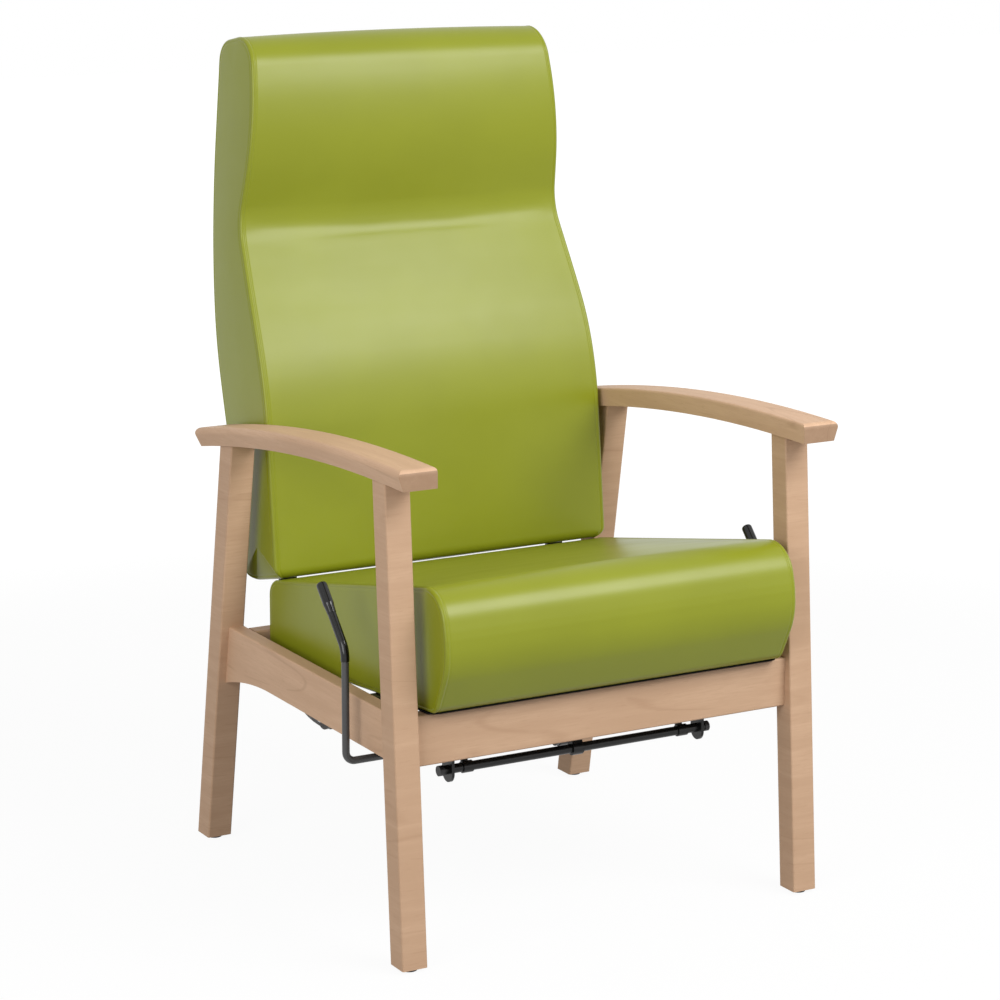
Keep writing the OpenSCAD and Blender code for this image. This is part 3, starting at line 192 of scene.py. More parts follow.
def plyFinish(spec):
    f = Finish("rawPly")
    layers = f.make("ShaderNodeTexWave", {"bands_direction": "Z"},
                    {"Vector": f.place(), "Scale": math.pi / 10 / spec["layer"], "Distortion": 0.4})
    face = f.noise(f.place(spec["figure"]), 1.0, 4.0, 0.6)
    colour = f.blendColour(f.between(layers, 0.35, 0.65), spec["pale"], spec["glue"])
    colour = f.blendColour(f.between(face, 0.4, 0.7, 0.0, 0.4), colour, spec["face"])
    rough = spec["roughness"] + 0.2 * (face - 0.5)
    return f.surface(Base_Color=colour, Roughness=rough, Normal=f.bump(face, 0.00008, 0.4))


# peel is how fine the skin's bumps are, per metre, and depth how high; paints say only what differs
plainSkin = {"metallic": 0.0, "coat": 0.0, "peel": 240.0, "depth": 0.00003, "specular": 0.5}
skins = {
    "blackPowderCoat": {"colour": (0.008, 0.008, 0.008), "second": (0.012, 0.012, 0.012),
                        "roughness": 0.30, "specular": 0.35},
    "zincPlate": {"colour": (0.60, 0.61, 0.63), "second": (0.48, 0.49, 0.50),
                  "roughness": 0.34, "metallic": 1.0, "peel": 420.0},
    "satinBlack": {"colour": (0.050, 0.050, 0.051), "second": (0.066, 0.066, 0.067),
                   "roughness": 0.42, "coat": 0.1},
    "groundRod": {"colour": (0.78, 0.79, 0.80), "second": (0.70, 0.71, 0.72),
                  "roughness": 0.13, "metallic": 1.0, "peel": 900.0, "depth": 0.00001},
    "dippedGrip": {"colour": (0.003, 0.003, 0.003), "second": (0.005, 0.005, 0.005),
                   "roughness": 0.14, "peel": 160.0, "depth": 0.00001, "specular": 0.45},
    # black for the sheet that paints the shadow under the seat cushion's front edge
    "blackEdging": {"colour": (0.010, 0.009, 0.009), "second": (0.018, 0.016, 0.015),
                    "roughness": 0.85, "peel": 900.0, "depth": 0.0001, "specular": 0.1},
    "mouldedBlack": {"colour": (0.022, 0.022, 0.024), "second": (0.032, 0.032, 0.034),
                     "roughness": 0.50, "peel": 700.0, "depth": 0.00004}}


def skinFinish(name, spec):
    f = Finish(name)
    where = f.place()
    cloud = f.noise(where, 18.0, 4.0, 0.6)
    skin = f.noise(where, spec["peel"], 2.0)
    colour = f.blendColour(f.between(cloud, 0.3, 0.7), spec["colour"], spec["second"])
    return f.surface(Base_Color=colour, Metallic=spec["metallic"], Coat_Weight=spec["coat"],
                     Coat_Roughness=0.1, Roughness=spec["roughness"] + 0.12 * (cloud - 0.5),
                     Specular_IOR_Level=spec["specular"], Normal=f.bump(skin, spec["depth"], 0.5))


green = vinylFinish(vinyl)
woodUpright = beechFinish("beechUpright", beech, (1, 1, 0), (0, 0, 1))
# this finish carries the paler colour, which is painted light on the armrests and side rails
woodSide = beechFinish("beechAlongSide", {**beech, **sideBoardsPaintedLight}, (0, 1, 0), (0, 1, 0))
woodCross = beechFinish("beechAcross", beech, (1, 0, 0), (1, 0, 0))
skin = {name: skinFinish(name, {**plainSkin, **spec}) for name, spec in skins.items()}

finishOf = {"beech": woodUpright, "plywood": plyFinish(plywood), "upholstery": green,
            "black_metal": skin["blackPowderCoat"], "zinc_steel": skin["zincPlate"],
            "bright_rod": skin["groundRod"], "grip_plastic": skin["dippedGrip"],
            "black_plastic": skin["mouldedBlack"]}
slotOf = {part["node"]: part["material_slot"] for part in frame["record"]["subparts"]}
runOf = {"armrest": woodSide, "side_rail": woodSide, "front_rail": woodCross, "rear_rail": woodCross,
         "back_arm": skin["satinBlack"]}
for name, piece in nodes.items():
    finish = next((runOf[start] for start in runOf if name.startswith(start)), finishOf[slotOf[name]])
    if not piece.data.materials:
        piece.data.materials.append(finish)
    for i in range(len(piece.material_slots)):
        piece.material_slots[i].material = finish
print("stage: finishes on", len(nodes), "nodes")


def metres(x, y, z):
    return (x / 1000, (y - midY) / 1000, z / 1000)


def newPiece(name, points, faces, finish, smooth=True):
    mesh = bpy.data.meshes.new(name)
    mesh.from_pydata([tuple(p) for p in points], [], faces)
    mesh.polygons.foreach_set("use_smooth", [smooth] * len(mesh.polygons))
    mesh.materials.append(finish)
    piece = bpy.data.objects.new(name, mesh)
    bpy.context.scene.collection.objects.link(piece)
    return piece


def evaluated(piece):
    return piece.evaluated_get(bpy.context.evaluated_depsgraph_get())


def bend(p, q, t, radius, steps):
    # points of the arc that rounds the corner q on the way from p to t
    u, v = (p - q) / np.linalg.norm(p - q), (t - q) / np.linalg.norm(t - q)
    half = math.acos(max(-1, min(1, u @ v))) / 2
    turn = math.pi - 2 * half
    middle = q + (u + v) / np.linalg.norm(u + v) * radius / math.sin(half)
    s, e = (q + w * radius / math.tan(half) - middle for w in (u, v))
    return [middle + (s * math.sin(turn * (1 - k)) + e * math.sin(turn * k)) / math.sin(turn)
            for k in np.linspace(0, 1, steps + 1)]


def roundedLine(corners):
    # corners are (y, z, radius) in mm; the ends have no radius
    spots = [np.array(c[:2], float) for c in corners]
    points = [spots[0]]
    for p, q, t, (_, _, radius) in zip(spots, spots[1:], spots[2:], corners[1:]):
        points += bend(p, q, t, radius, 24)
    return np.array(points + [spots[-1]])


def along(line, shares):
    # the points that lie at these shares of the line's length
    run = np.concatenate([[0], np.cumsum(np.linalg.norm(np.diff(line, axis=0), axis=1))])
    run /= run[-1]
    return np.stack([np.interp(shares, run, line[:, k]) for k in (0, 1)], 1)


def meet(p, q):
    return (np.array(p, float) + np.array(q, float)) / 2


def slope(line, y):
    z, at, rise = line
    return z + (y - at) * rise


# mm; underside and top are straight lines given as (z, y where it has that z, rise), and the points
# of nose, noseTop, front and rear are (y, z, radius)
seatCushion = {"name": "seat_cushion_cover", "halfWidth": 267.3, "waist": 0.8, "crown": 5.5,
               "crownRun": 1.12, "puff": 1.2, "edge": 3.6, "rows": 230, "underside": (336, -301, -0.084),
               "top": (506.5, -319.5, -0.203), "nose": [(-335.6, 440, 0), (-338.5, 404, 90)],
               "noseTop": [(-333.8, 450, 0), (-319.5, 506.5, 47)], "underY": -305.0, "underTurn": 22.0,
               "underLift": 0.5, "rearY": 184.0, "rearTurn": 25.0, "lowTurn": 8, "meetGap": 18,
               "restDepth": 9}
backCushion = {"name": "back_cushion_cover", "halfWidth": 269.3, "taper": 0.081, "taperZ": 732.8,
               "taperSoft": 60.0, "cornerTurn": 15.0, "cornerZ": 400, "crown": 5.5, "rearCrown": 3.0,
               "crestCrown": 3.2, "crestFrom": 0.8, "puff": 1.2, "edge": 3.6, "rows": 270,
               "foot": (157, 412), "heel": (254.5, 388.5), "footTurn": 14,
               "front": [(186, 692, 450), (288.5, 892, 80), (256.5, 1030, 330)],
               "rear": [(383.5, 833, 1300)], "headFront": (286, 1157.8), "frontTurn": 49,
               "headRear": (388.5, 1139.6), "rearTurn": 30, "crestHalf": (3.9, -0.7)}
seamLook = {"groove": 6.8, "grooveWidth": 1.2, "grooveDepth": 0.45, "ridge": 3.6, "ridgeWidth": 1.8,
            "ridgeHeight": 0.5, "cornerGroove": 1.6, "cornerWidth": 1.2, "cornerDepth": 0.5}
# how the covers are divided: points across each end, degrees round the edge, mm from it, and shares
# of the way into the panel; spine is how far the panel's middle stays from its ends, by its depth
divided = {"caps": 5, "corner": (90, 72, 54, 36, 18), "seamStep": 0.5, "seamReach": 11.0,
           "outer": [12, 13.5, 16, 20, 26, 34, 44, 56, 70], "inner": (84, 265, 12), "spine": 0.42,
           "panel": (0.008, 0.018, 0.03, 0.045, 0.07, 0.11, 0.17, 0.25, 0.36, 0.5, 0.66, 0.83, 1.0)}


def seatLines(spec):
    # the section's lower and upper half, both from the nose to the rear
    front, rear = spec["underY"], spec["rearY"]
    under, over = slope(spec["underside"], rear), slope(spec["top"], rear)
    middle, lift = (under + over) / 2, spec["underLift"]
    low = roundedLine([*spec["nose"],
                       (front, slope(spec["underside"], front) + lift, spec["underTurn"]),
                       (rear, under + lift, spec["lowTurn"]), (rear, middle - spec["meetGap"], 0)])
    high = roundedLine([*spec["noseTop"], (rear, over, spec["rearTurn"]),
                        (rear, middle + spec["meetGap"], 0)])
    return low, high


def backLines(spec):
    # the section's front and rear half, both from the foot to the crest
    foot, heel = spec["foot"], spec["heel"]
    footIn, heelIn = meet(foot, meet(foot, heel)), meet(heel, meet(foot, heel))
    crest, reach = meet(spec["headFront"], spec["headRear"]), np.array(spec["crestHalf"])
    front = roundedLine([(*footIn, 0), (*foot, spec["footTurn"]), *spec["front"],
                         (*spec["headFront"], spec["frontTurn"]), (*(crest - reach), 0)])
    rear = roundedLine([(*heelIn, 0), (*heel, spec["footTurn"]), *spec["rear"],
                        (*spec["headRear"], spec["rearTurn"]), (*(crest + reach), 0)])
    return front, rear


def relief(e):
    # sewn edge: a raised strip beside the panel and a fine groove inside it, by distance e from the edge
    s = seamLook
    strip = s["ridgeHeight"] * np.exp(-((e - s["ridge"]) / s["ridgeWidth"]) ** 2)
    return strip - s["grooveDepth"] * np.exp(-((e - s["groove"]) / s["grooveWidth"]) ** 2)


def aroundLoop(first, second):
    # values along the two halves, spread over the whole section with the caps between them
    caps = divided["caps"]
    return np.concatenate([first, np.repeat(first[-1:], caps, 0),
                           second[::-1], np.repeat(second[:1], caps, 0)])


def inwardWay(loop):
    # at each point of the section, the way to its inside
    tangent = np.roll(loop, -1, 0) - np.roll(loop, 1, 0)
    for _ in range(2):
        tangent = tangent / np.linalg.norm(tangent, axis=1)[:, None]
        tangent = np.roll(tangent, -1, 0) + tangent * 2 + np.roll(tangent, 1, 0)
    tangent /= np.linalg.norm(tangent, axis=1)[:, None]
    inward = np.stack([-tangent[:, 1], tangent[:, 0]], 1)
    return -inward if ((loop.mean(0) - loop) * inward).sum() < 0 else inward


def bandRows(loop, inward, halves, crown, r):
    # rows of points that run round the section, from one side to the other, and their gap to the edge
    fromEdge = [*np.arange(r, divided["seamReach"], divided["seamStep"]), *divided["outer"],
                *np.linspace(*divided["inner"])[:-1]]
    rows, gaps = [], []

    def arc(side, degrees):
        t = math.radians(degrees)
        x = side * (halves - r + r * math.sin(t))
        rows.append(np.column_stack([x, loop + inward * r * (1 - math.cos(t))]))
        gaps.append(0.0)

    def band(side, e):
        x = side * (halves - r) * (halves[0] - e) / (halves[0] - r)
        raised = crown * (1 - (x / (halves - r)) ** 2) + relief(e)
        rows.append(np.column_stack([x, loop - inward * raised[:, None]]))
        gaps.append(e)

    for degrees in divided["corner"]:
        arc(-1, degrees)
    for e in fromEdge:
        band(-1, e)
    band(1, halves[0])
    for e in reversed(fromEdge):
        band(1, e)
    for degrees in reversed(divided["corner"]):
        arc(1, degrees)
    return rows, gaps


def cushionShape(a, b, half, crownA, crownB, spec):
    # a band round the section, with a panel let in at each side
    caps = divided["caps"] + 2
    loop = np.concatenate([a, np.linspace(a[-1], b[-1], caps)[1:-1],
                           b[::-1], np.linspace(b[0], a[0], caps)[1:-1]])
    halves, inward, m, r = aroundLoop(half, half), inwardWay(loop), len(loop), spec["edge"]
    rows, gaps = bandRows(loop, inward, halves, aroundLoop(crownA, crownB), r)
    lastRow = len(rows) - 1
    faces = [(i * m + j, i * m + (j + 1) % m, (i + 1) * m + (j + 1) % m, (i + 1) * m + j)
             for i in range(lastRow) for j in range(m)]
    # the panels run in to a spine midway between the two halves, which stops short of its ends
    spine = (a + b) / 2
    keep = np.linalg.norm(b - a, axis=1) * divided["spine"]
    low = int(np.argmax(np.linalg.norm(spine - spine[0], axis=1) > keep))
    high = len(a) - 1 - int(np.argmax((np.linalg.norm(spine - spine[-1], axis=1) > keep)[::-1]))
    held = np.clip(np.arange(len(a)), low, high)
    target, targetHalf = aroundLoop(spine[held], spine[held]), aroundLoop(half[held], half[held])
    start = loop + inward * r
    seam = seamLook
    for side, last in ((-1, 0), (1, lastRow * m)):
        for t in divided["panel"]:
            q = start + (target - start) * t
            e = np.linalg.norm(q - start, axis=1)
            dip = seam["cornerDepth"] * np.exp(-((e - seam["cornerGroove"]) / seam["cornerWidth"]) ** 2)
            swell = spec["puff"] * (1 - (1 - t) ** 2)
            base = len(rows) * m
            rows.append(np.column_stack([side * (halves * (1 - t) + targetHalf * t + swell - dip), q]))
            gaps.append(-1.0)
            ring = [(last + j, base + j, base + (j + 1) % m, last + (j + 1) % m) for j in range(m)]
            faces += ring if side < 0 else [f[::-1] for f in ring]
            last = base
    return np.concatenate(rows), faces, np.repeat(gaps, m)


def weld(points, faces, values):
    # points closer than 0.001 mm become one, and faces that shrink to nothing go
    keys, order, place = {}, [], []
    for i, key in enumerate(map(tuple, np.round(points, 3))):
        if key not in keys:
            keys[key] = len(order)
            order.append(i)
        place.append(keys[key])
    kept = []
    for face in faces:
        ids = [place[i] for i in face]
        ids = [v for k, v in enumerate(ids) if v != ids[k - 1]]
        if len(set(ids)) > 2 and len(set(ids)) == len(ids):
            kept.append(tuple(ids))
    return points[order], kept, values[order]


def outward(piece):
    bm = bmesh.new()
    bm.from_mesh(piece.data)
    bmesh.ops.recalc_face_normals(bm, faces=bm.faces)
    bm.to_mesh(piece.data)
    bm.free()


# voxel, cap, seamHold and blur in metres; fade is where the swelling starts and how far on it is
# whole, in mm from the edge; gain is the share of the swelling that is kept
clothLook = {"voxel": 0.0065, "pressure": 4.0, "frames": 20, "quality": 6, "mass": 0.3, "damping": 2.0,
             "stretch": 25, "shear": 12, "bending": 2.0, "cap": 0.024, "gain": 0.20, "panelShare": 0.7,
             "seamHold": 0.016, "fade": (5, 30), "neighbours": 6, "blur": 0.0008}


def clothMove(copy):
    # lets the copy swell, and returns where its points were and how far each moved
    c = clothLook
    first = np.array([v.co for v in copy.data.vertices])
    cloth = copy.modifiers.new("cloth", "CLOTH")
    s = cloth.settings
    s.quality, s.mass, s.air_damping = c["quality"], c["mass"], c["damping"]
    s.tension_stiffness = s.compression_stiffness = c["stretch"]
    s.shear_stiffness, s.bending_stiffness = c["shear"], c["bending"]
    s.use_pressure, s.uniform_pressure_force = True, c["pressure"]
    s.vertex_group_mass, s.effector_weights.gravity = "hold", 0
    cloth.collision_settings.use_self_collision = cloth.collision_settings.use_collision = False
    cloth.point_cache.frame_start, cloth.point_cache.frame_end = 1, c["frames"]
    scene = bpy.context.scene
    for step in range(1, c["frames"] + 1):
        scene.frame_set(step)
    swollen = evaluated(copy).to_mesh()
    move = np.array([v.co for v in swollen.vertices]) - first
    scene.frame_set(1)
    return first, move


def treeOf(points):
    tree = KDTree(len(points))
    for i, p in enumerate(points):
        tree.insert(p, i)
    tree.balance()
    return tree


def puffed(piece, gap, restsOn):
    # cloth under pressure on a remeshed copy, held at the seams and where it rests; each point's move
    c = clothLook
    copy = bpy.data.objects.new(piece.name + "_copy", piece.data.copy())
    bpy.context.scene.collection.objects.link(copy)
    remesh = copy.modifiers.new("remesh", "REMESH")
    remesh.mode, remesh.voxel_size = "VOXEL", c["voxel"]
    copy.data = bpy.data.meshes.new_from_object(evaluated(copy))
    copy.modifiers.clear()
    shape = np.array([v.co for v in piece.data.vertices])
    seams = treeOf(shape[gap == 0])
    hold = copy.vertex_groups.new(name="hold")
    for v in copy.data.vertices:
        nearSeam = max(0.0, min(1.0, 1 - seams.find(v.co)[2] / c["seamHold"]))
        weight = 1.0 if restsOn(v.co) else nearSeam
        if weight > 0:
            hold.add([v.index], weight, "REPLACE")
    first, move = clothMove(copy)
    size = np.linalg.norm(move, axis=1)
    print(f"  {piece.name}: {len(first)} points, cloth moved {size.max() * 1000:.1f} mm at most")
    move *= np.minimum(1, c["cap"] / np.maximum(size, 1e-9))[:, None] * c["gain"]
    tree = treeOf(first)
    result = np.zeros_like(shape)
    for i, p in enumerate(shape):
        near = tree.find_n(p, c["neighbours"])
        w = np.array([1 / (d + c["blur"]) for _, _, d in near])
        result[i] = (move[[k for _, k, _ in near]] * w[:, None]).sum(0) / w.sum()
    fade = np.clip((gap - c["fade"][0]) / c["fade"][1], 0, 1)
    fade = np.where(gap < 0, c["panelShare"], fade * fade * (3 - 2 * fade))
    bpy.data.objects.remove(copy)
    return result * fade[:, None]


def cushion(spec, a, b, half, crownA, crownB, restsOn, node, body):
    points, faces, gap = cushionShape(a, b, half, crownA, crownB, spec)
    points[:, 1] -= midY
    points, faces, gap = weld(points, faces, gap)
    piece = newPiece(spec["name"], points / 1000, faces, green)
    outward(piece)
    move = puffed(piece, gap, restsOn)
    for v, d in zip(piece.data.vertices, move):
        v.co += Vector(d)
    most = np.linalg.norm(move, axis=1).max() * 1000
    print(f"  {spec['name']}: shape moved {most:.1f} mm at most")
    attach(piece, body)
    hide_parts(node)


def makeSeat(spec):
    f = np.linspace(0, 1, spec["rows"] + 1)
    low, high = (along(line, f) for line in seatLines(spec))
    half = spec["halfWidth"] - spec["waist"] * np.sin(np.pi * f)
    crown = spec["crown"] * np.sin(np.pi * np.minimum(1, f * spec["crownRun"]))

    def restsOn(p):
        return p[2] * 1000 < slope(spec["underside"], p[1] * 1000 + midY) + spec["restDepth"]

    cushion(spec, low, high, half, np.zeros_like(f), crown, restsOn, "seat_cushion", "frame")


def makeBack(spec):
    f = np.linspace(0, 1, spec["rows"] + 1)
    front, rear = (along(line, f) for line in backLines(spec))
    z = meet(front, rear)[:, 1]
    d = z - spec["taperZ"]
    half = spec["halfWidth"] - spec["taper"] * (np.sqrt(d * d + spec["taperSoft"] ** 2) + d) / 2
    r = spec["cornerTurn"]
    half -= r * (1 - np.sqrt(1 - (1 - np.clip(z - spec["cornerZ"], 0, r) / r) ** 2))
    crest = spec["crestCrown"] * np.clip((f - spec["crestFrom"]) / (1 - spec["crestFrom"]), 0, 1) ** 2
    swell = np.sin(np.pi * f)
    cushion(spec, front, rear, half, spec["crown"] * swell + crest, spec["rearCrown"] * swell + crest,
            lambda p: False, "back_cushion", "back")


makeSeat(seatCushion)
makeBack(backCushion)
print("stage: cushions")


# painted shadow: the shade in the gap under the seat cushion's front edge, drawn as a thin black sheet
shadowGapStrip = {"halfWidth": 267.5, "front": -298.5, "rear": -238.0, "thickness": 1.3, "lowest": 331.8,
             "corner": 14.0, "drop": 0.2}


def shadowStripPiece(spec):
    # a painted shadow: a thin black sheet in the gap between the seat cushion's front underside and the
    # front rail
    w, y0, y1, r = spec["halfWidth"], spec["front"], spec["rear"], spec["corner"]
    turn = [math.radians(k) for k in range(0, 91, 15)]
    outline = [(w, y1)] + [(w - r + r * math.cos(t), y0 + r - r * math.sin(t)) for t in turn]
    outline += [(-x, y) for x, y in reversed(outline)]
    under = lambda y: slope(seatCushion["underside"], y) - spec["drop"]
    n = len(outline)
    points = [metres(x, y, under(y)) for x, y in outline]
    points += [metres(x, y, max(under(y) - spec["thickness"], spec["lowest"])) for x, y in outline]
    faces = [tuple(range(n)), tuple(range(2 * n - 1, n - 1, -1))]
    faces += [(i, n + i, n + (i + 1) % n, (i + 1) % n) for i in range(n)]
    piece = newPiece("seat_edge_strip", points, faces, skin["blackEdging"], False)
    outward(piece)
    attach(piece, "frame")


shadowStripPiece(shadowGapStrip)


def geometryTree(name, inputs):
    tree = bpy.data.node_groups.new(name, "GeometryNodeTree")
    tree.interface.new_socket(name="Geometry", in_out="INPUT", socket_type="NodeSocketGeometry")
    for label, value in inputs.items():
        kind = "NodeSocketInt" if isinstance(value, int) else "NodeSocketFloat"
        tree.interface.new_socket(name=label, in_out="INPUT", socket_type=kind)
    tree.interface.new_socket(name="Geometry", in_out="OUTPUT", socket_type="NodeSocketGeometry")
    t = Finish(name, tree)
    start = t.make("NodeGroupInput")
    return t, {s.name: Val(t, s) for s in start.socket.node.outputs if s.name}


def closeTree(t, geometry, finish):
    real = t.make("GeometryNodeRealizeInstances", {}, {0: geometry})
    done = t.make("GeometryNodeSetMaterial", {}, {"Geometry": real, "Material": finish})
    t.make("NodeGroupOutput", {}, {0: done})


def grown(piece, t, values):
    # runs the tree on the piece, and leaves a plain mesh
    modifier = piece.modifiers.new(t.tree.name, "NODES")
    modifier.node_group = t.tree
    for item in t.tree.interface.items_tree:
        if item.in_out == "INPUT" and item.name in values:
            modifier[item.identifier] = values[item.name]
    result = bpy.data.meshes.new_from_object(evaluated(piece))
    piece.modifiers.clear()
    piece.data = result


# rod radii in metres, the run and the radii of its bends in mm, the lean above the knee in degrees
lever = {"Rod radius": 0.005, "Sides": 28}
leverRun = {"join": (168, -184.5, 251.5), "foot": (168, -206.93, 229.61), "outX": 333.0, "kneeZ": 402.0,
            "lean": 42.8, "handle": 96.85, "bends": (11, 13, 30), "steps": 14}
# the sleeve starts at this height and ends so far past the knee
leverSleeve = {"Rod radius": 0.00575, "Sides": 28, "from": 387.0, "upTo": 57.0}


def leverPaths(run, sleeve):
    # the whole rod, and the stretch at its knee that the sleeve covers
    lean = math.radians(run["lean"])
    upwards = np.array([0, math.sin(lean), math.cos(lean)])
    foot, join = (np.array(run[k], float) for k in ("foot", "join"))
    low, knee = (np.array([run["outX"], join[1], z]) for z in (join[2], run["kneeZ"]))
    top = knee + run["handle"] * upwards
    corners = ((foot, join, low), (join, low, knee), (low, knee, top))
    arcs = [bend(*three, r, run["steps"]) for three, r in zip(corners, run["bends"])]
    rod = [foot] + arcs[0] + arcs[1] + arcs[2] + [top]
    start = np.array([*knee[:2], sleeve["from"]])
    return rod, [start] + arcs[2] + [knee + sleeve["upTo"] * upwards]


def rodTree(name, finish):
    t, inlets = geometryTree(name, lever)
    line = t.make("GeometryNodeMeshToCurve", {}, {"Mesh": inlets["Geometry"]})
    ring = t.make("GeometryNodeCurvePrimitiveCircle", {}, {"Radius": inlets["Rod radius"],
                                                            "Resolution": inlets["Sides"]})
    bar = t.make("GeometryNodeCurveToMesh", {}, {"Curve": line, "Profile Curve": ring,
                                                 "Fill Caps": True})
    closeTree(t, t.make("GeometryNodeSetShadeSmooth", {}, {"Geometry": bar}), finish)
    return t


def roundBar(name, path, side, tree, sizes):
    points = [metres(side * p[0], p[1], p[2]) for p in path]
    mesh = bpy.data.meshes.new("lever_line")
    mesh.from_pydata(points, [(i, i + 1) for i in range(len(points) - 1)], [])
    piece = bpy.data.objects.new(name, mesh)
    bpy.context.scene.collection.objects.link(piece)
    grown(piece, tree, sizes)
    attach(piece, "release_bail")
    return piece


rodPath, sleevePath = leverPaths(leverRun, leverSleeve)
bareRod = rodTree("bentRod", skin["satinBlack"])
dippedRod = rodTree("dippedSleeve", skin["dippedGrip"])
for side, word in ((-1, "right"), (1, "left")):
    rod = roundBar("bent_lever_" + word, rodPath, side, bareRod, lever)
    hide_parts("lever_rod_" + word)
    roundBar("lever_sleeve_" + word, sleevePath, side, dippedRod, leverSleeve)
print("stage: levers")


# metres; dome share is the dome's upper radius by the head's
screw = {"Head radius": 0.005, "Head height": 0.0013, "Dome height": 0.0013, "Dome share": 0.62,
         "Shank radius": 0.0022, "Slot width": 0.0011, "Slot length": 0.0052, "Slot depth": 0.0026,
         "Seed": 4}
# shank length, then head centres at the left side and the way each faces, in mm
screwRows = {"blocks": (26, [((249.1, -273.1, 298.5), (0, 1, 0)), ((268.5, -253.65, 298.5), (-1, 0, 0)),
                             ((249.1, 144.9, 281.3), (0, -1, 0)), ((268.5, 125.55, 281.3), (-1, 0, 0))]),
             "seatBars": (15, [((278.5, y, z), (-1, 0, 0)) for y, z in (
                 (-201.1, 302.3), (-155.1, 302.3), (18.9, 283.8), (65.0, 283.8))]),
             "hangers": (15, [((x, -283.1, z), (0, 1, 0)) for x in (178, 28) for z in (284, 310.5)])}
screwPlaces = [((side * x, y, z), (side * wayX, wayY, wayZ), length)
               for side in (-1, 1) for length, row in screwRows.values()
               for (x, y, z), (wayX, wayY, wayZ) in row]

screwTree, screwIn = geometryTree("panScrew", screw)
mk = screwTree.make


def coneOf(lowRadius, highRadius, height, z):
    shape = mk("GeometryNodeMeshCone", {}, {"Vertices": 24, "Radius Top": highRadius,
                                            "Radius Bottom": lowRadius, "Depth": height})
    lift = mk("ShaderNodeCombineXYZ", {}, {"Z": z})
    return mk("GeometryNodeTransform", {}, {"Geometry": shape, "Translation": lift})


headR, headH, domeH = screwIn["Head radius"], screwIn["Head height"], screwIn["Dome height"]
rim = coneOf(headR, headR, headH, 0 - (domeH + headH))
dome = coneOf(headR, headR * screwIn["Dome share"], domeH, 0 - domeH)
bars = []
for first, second in (("X", "Y"), ("Y", "X")):
    size = mk("ShaderNodeCombineXYZ", {}, {first: screwIn["Slot length"], second: screwIn["Slot width"],
                                           "Z": screwIn["Slot depth"]})
    bars.append(mk("GeometryNodeMeshCube", {}, {"Size": size}))
headSolid = mk("GeometryNodeMeshBoolean", {"operation": "UNION"}, {1: [rim, dome]})
headCut = mk("GeometryNodeMeshBoolean", {"operation": "DIFFERENCE"}, {0: headSolid, 1: bars})
shank = coneOf(screwIn["Shank radius"], screwIn["Shank radius"], 1.0, -1.0)
faceWay = mk("GeometryNodeInputNamedAttribute", {"data_type": "FLOAT_VECTOR"}, {"Name": "faceWay"})
shankLength = mk("GeometryNodeInputNamedAttribute", {"data_type": "FLOAT"}, {"Name": "shankLength"})
spin = mk("FunctionNodeRandomValue", {"data_type": "FLOAT"},
          {2: 0.0, 3: 1.57, "Seed": screwIn["Seed"]}, 1)
turned = mk("FunctionNodeAlignRotationToVector", {"axis": "Z"}, {"Vector": faceWay})
aboutZ = mk("FunctionNodeAxisAngleToRotation", {}, {"Axis": (0, 0, 1), "Angle": spin})
posed = mk("FunctionNodeRotateRotation", {"rotation_space": "LOCAL"},
           {"Rotation": turned, "Rotate By": aboutZ})
headAt = mk("GeometryNodeInstanceOnPoints", {}, {"Points": screwIn["Geometry"], "Instance": headCut,
                                                  "Rotation": posed})
stretchBy = mk("ShaderNodeCombineXYZ", {}, {"X": 1.0, "Y": 1.0, "Z": shankLength})
shankAt = mk("GeometryNodeInstanceOnPoints", {}, {"Points": screwIn["Geometry"], "Instance": shank,
                                                   "Rotation": turned, "Scale": stretchBy})
closeTree(screwTree, mk("GeometryNodeJoinGeometry", {}, {0: [headAt, shankAt]}), skin["zincPlate"])

mesh = bpy.data.meshes.new("screw_places")
mesh.from_pydata([tuple(c / 1000 for c in p) for p, _, _ in screwPlaces], [], [])
mesh.attributes.new("faceWay", "FLOAT_VECTOR", "POINT").data.foreach_set(
    "vector", [c for _, way, _ in screwPlaces for c in way])
mesh.attributes.new("shankLength", "FLOAT", "POINT").data.foreach_set(
    "value", [length / 1000 for _, _, length in screwPlaces])
screws = bpy.data.objects.new("frame_screws", mesh)
bpy.context.scene.collection.objects.link(screws)
grown(screws, screwTree, screw)
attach(screws, "frame")
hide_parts("block_screws", "seat_bar_screws", "hanger_screws", "anchor_screws")
print("stage: screws,", len(screws.data.polygons), "faces")


# place in metres, angles in degrees, lens and sensor in mm
view = {"place": (-2.072, -3.68885, 1.4824), "azimuth": -29.5094, "elevation": 11.9288, "roll": 0.0826,
        "lens": 112.19, "sensor": 36.0, "shift": (0.000548, -0.047188), "reach": 60}


def makeCamera(spec):
    az, el, roll = (math.radians(spec[k]) for k in ("azimuth", "elevation", "roll"))
    backward = Vector((math.sin(az) * math.cos(el), -math.cos(az) * math.cos(el), math.sin(el)))
    across = (-backward).cross(Vector((0, 0, 1))).normalized()
    upward = across.cross(-backward)
    rolledAcross = across * math.cos(roll) + upward * math.sin(roll)
    rolledUp = upward * math.cos(roll) - across * math.sin(roll)
    turn = Matrix((rolledAcross, rolledUp, backward)).transposed().to_4x4()
    camera = bpy.data.objects.new("camera", bpy.data.cameras.new("camera"))
    camera.data.lens, camera.data.sensor_width = spec["lens"], spec["sensor"]
    camera.data.shift_x, camera.data.shift_y = spec["shift"]
    camera.data.clip_end = spec["reach"]
    camera.matrix_world = Matrix.Translation(spec["place"]) @ turn
    bpy.context.scene.collection.objects.link(camera)
    bpy.context.scene.camera = camera


makeCamera(view)

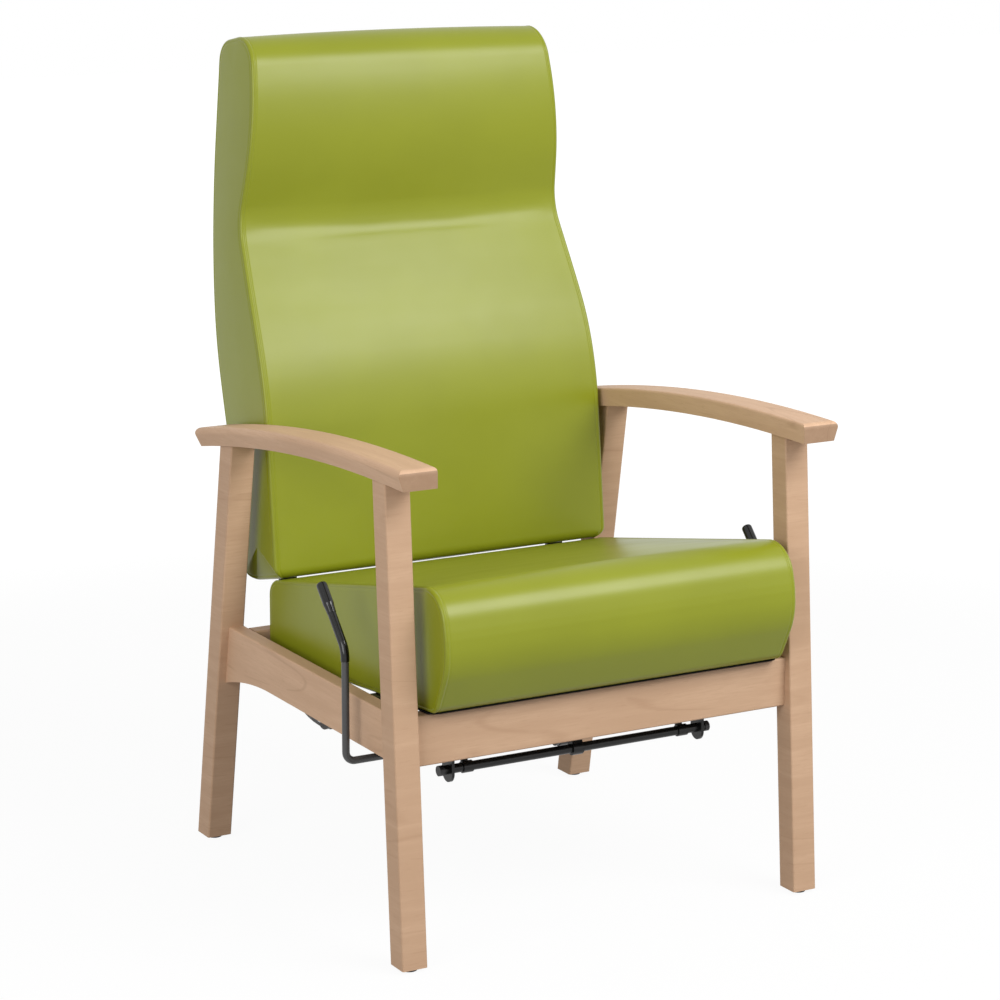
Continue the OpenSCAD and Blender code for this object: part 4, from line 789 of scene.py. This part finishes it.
# sky is the share of the white room that lights the object; glow runs from near to far over metres
studio = {"middle": (0, 0, 0.6), "sky": 0.45, "floorColour": (0.32, 0.32, 0.32), "floorReach": 12.0,
          "floorGlow": 1.10, "glowNear": 0.86, "glowFar": 1.0, "glowFrom": 1.4, "glowTo": 3.2}
# way from the chair, distance, width and height in m, and radiance
softboxes = {"key": ((0.38, -0.70, 0.61), 3.5, (2.3, 1.75), 8.0),
             "low": ((0.44, -0.88, 0.19), 3.5, (2.5, 1.0), 0.7),
             "side": ((-0.82, -0.47, 0.32), 4.0, (2.4, 2.4), 4.0)}
for name, (way, away, size, radiance) in softboxes.items():
    lampData = bpy.data.lights.new("softbox_" + name, "AREA")
    lampData.shape, lampData.energy = "RECTANGLE", radiance * math.pi * size[0] * size[1]
    lampData.size, lampData.size_y = size
    lamp = bpy.data.objects.new("softbox_" + name, lampData)
    way = Vector(way).normalized()
    turn = way.to_track_quat("Z", "Y").to_matrix().to_4x4()
    lamp.matrix_world = Matrix.Translation(Vector(studio["middle"]) + way * away) @ turn
    bpy.context.scene.collection.objects.link(lamp)


def looked(f):
    # 1 where the camera, a mirror or a clear piece looks, 0 for light that falls on the object
    kinds = ("Is Camera Ray", "Is Glossy Ray", "Is Transmission Ray")
    rays = [f.make("ShaderNodeLightPath", output=kind) for kind in kinds]
    seen = rays[0].sum("MAXIMUM", rays[0], rays[1])
    return seen.sum("MAXIMUM", seen, rays[2])


world = bpy.data.worlds.new("studio")
bpy.context.scene.world = world
world.use_nodes = True
world.node_tree.nodes.clear()
sky = Finish("studio", world.node_tree)
sky.make("ShaderNodeOutputWorld", {}, {"Surface": sky.make("ShaderNodeBackground", {}, {
    "Color": (1, 1, 1, 1), "Strength": looked(sky) * (1.0 - studio["sky"]) + studio["sky"]})})

pale = Finish("paleFloor")
plain = pale.make("ShaderNodeBsdfDiffuse", {}, {"Color": rgba(studio["floorColour"])})
glow = pale.make("ShaderNodeEmission", {}, {"Color": (1, 1, 1, 1), "Strength": studio["floorGlow"]})
radius = pale.make("ShaderNodeVectorMath", {"operation": "LENGTH"}, {0: pale.place()}, output="Value")
share = pale.between(radius, studio["glowFrom"], studio["glowTo"], studio["glowNear"], studio["glowFar"])
pale.make("ShaderNodeOutputMaterial", {}, {"Surface": pale.make(
    "ShaderNodeMixShader", {}, {0: looked(pale) * share, 1: plain, 2: glow})})
reach = studio["floorReach"]
corners = [(-reach, -reach, 0), (reach, -reach, 0), (reach, reach, 0), (-reach, reach, 0)]
newPiece("studio_floor", corners, [(0, 1, 2, 3)], pale.material, False)
bpy.context.scene.view_settings.view_transform = "Standard"
print("stage: studio")
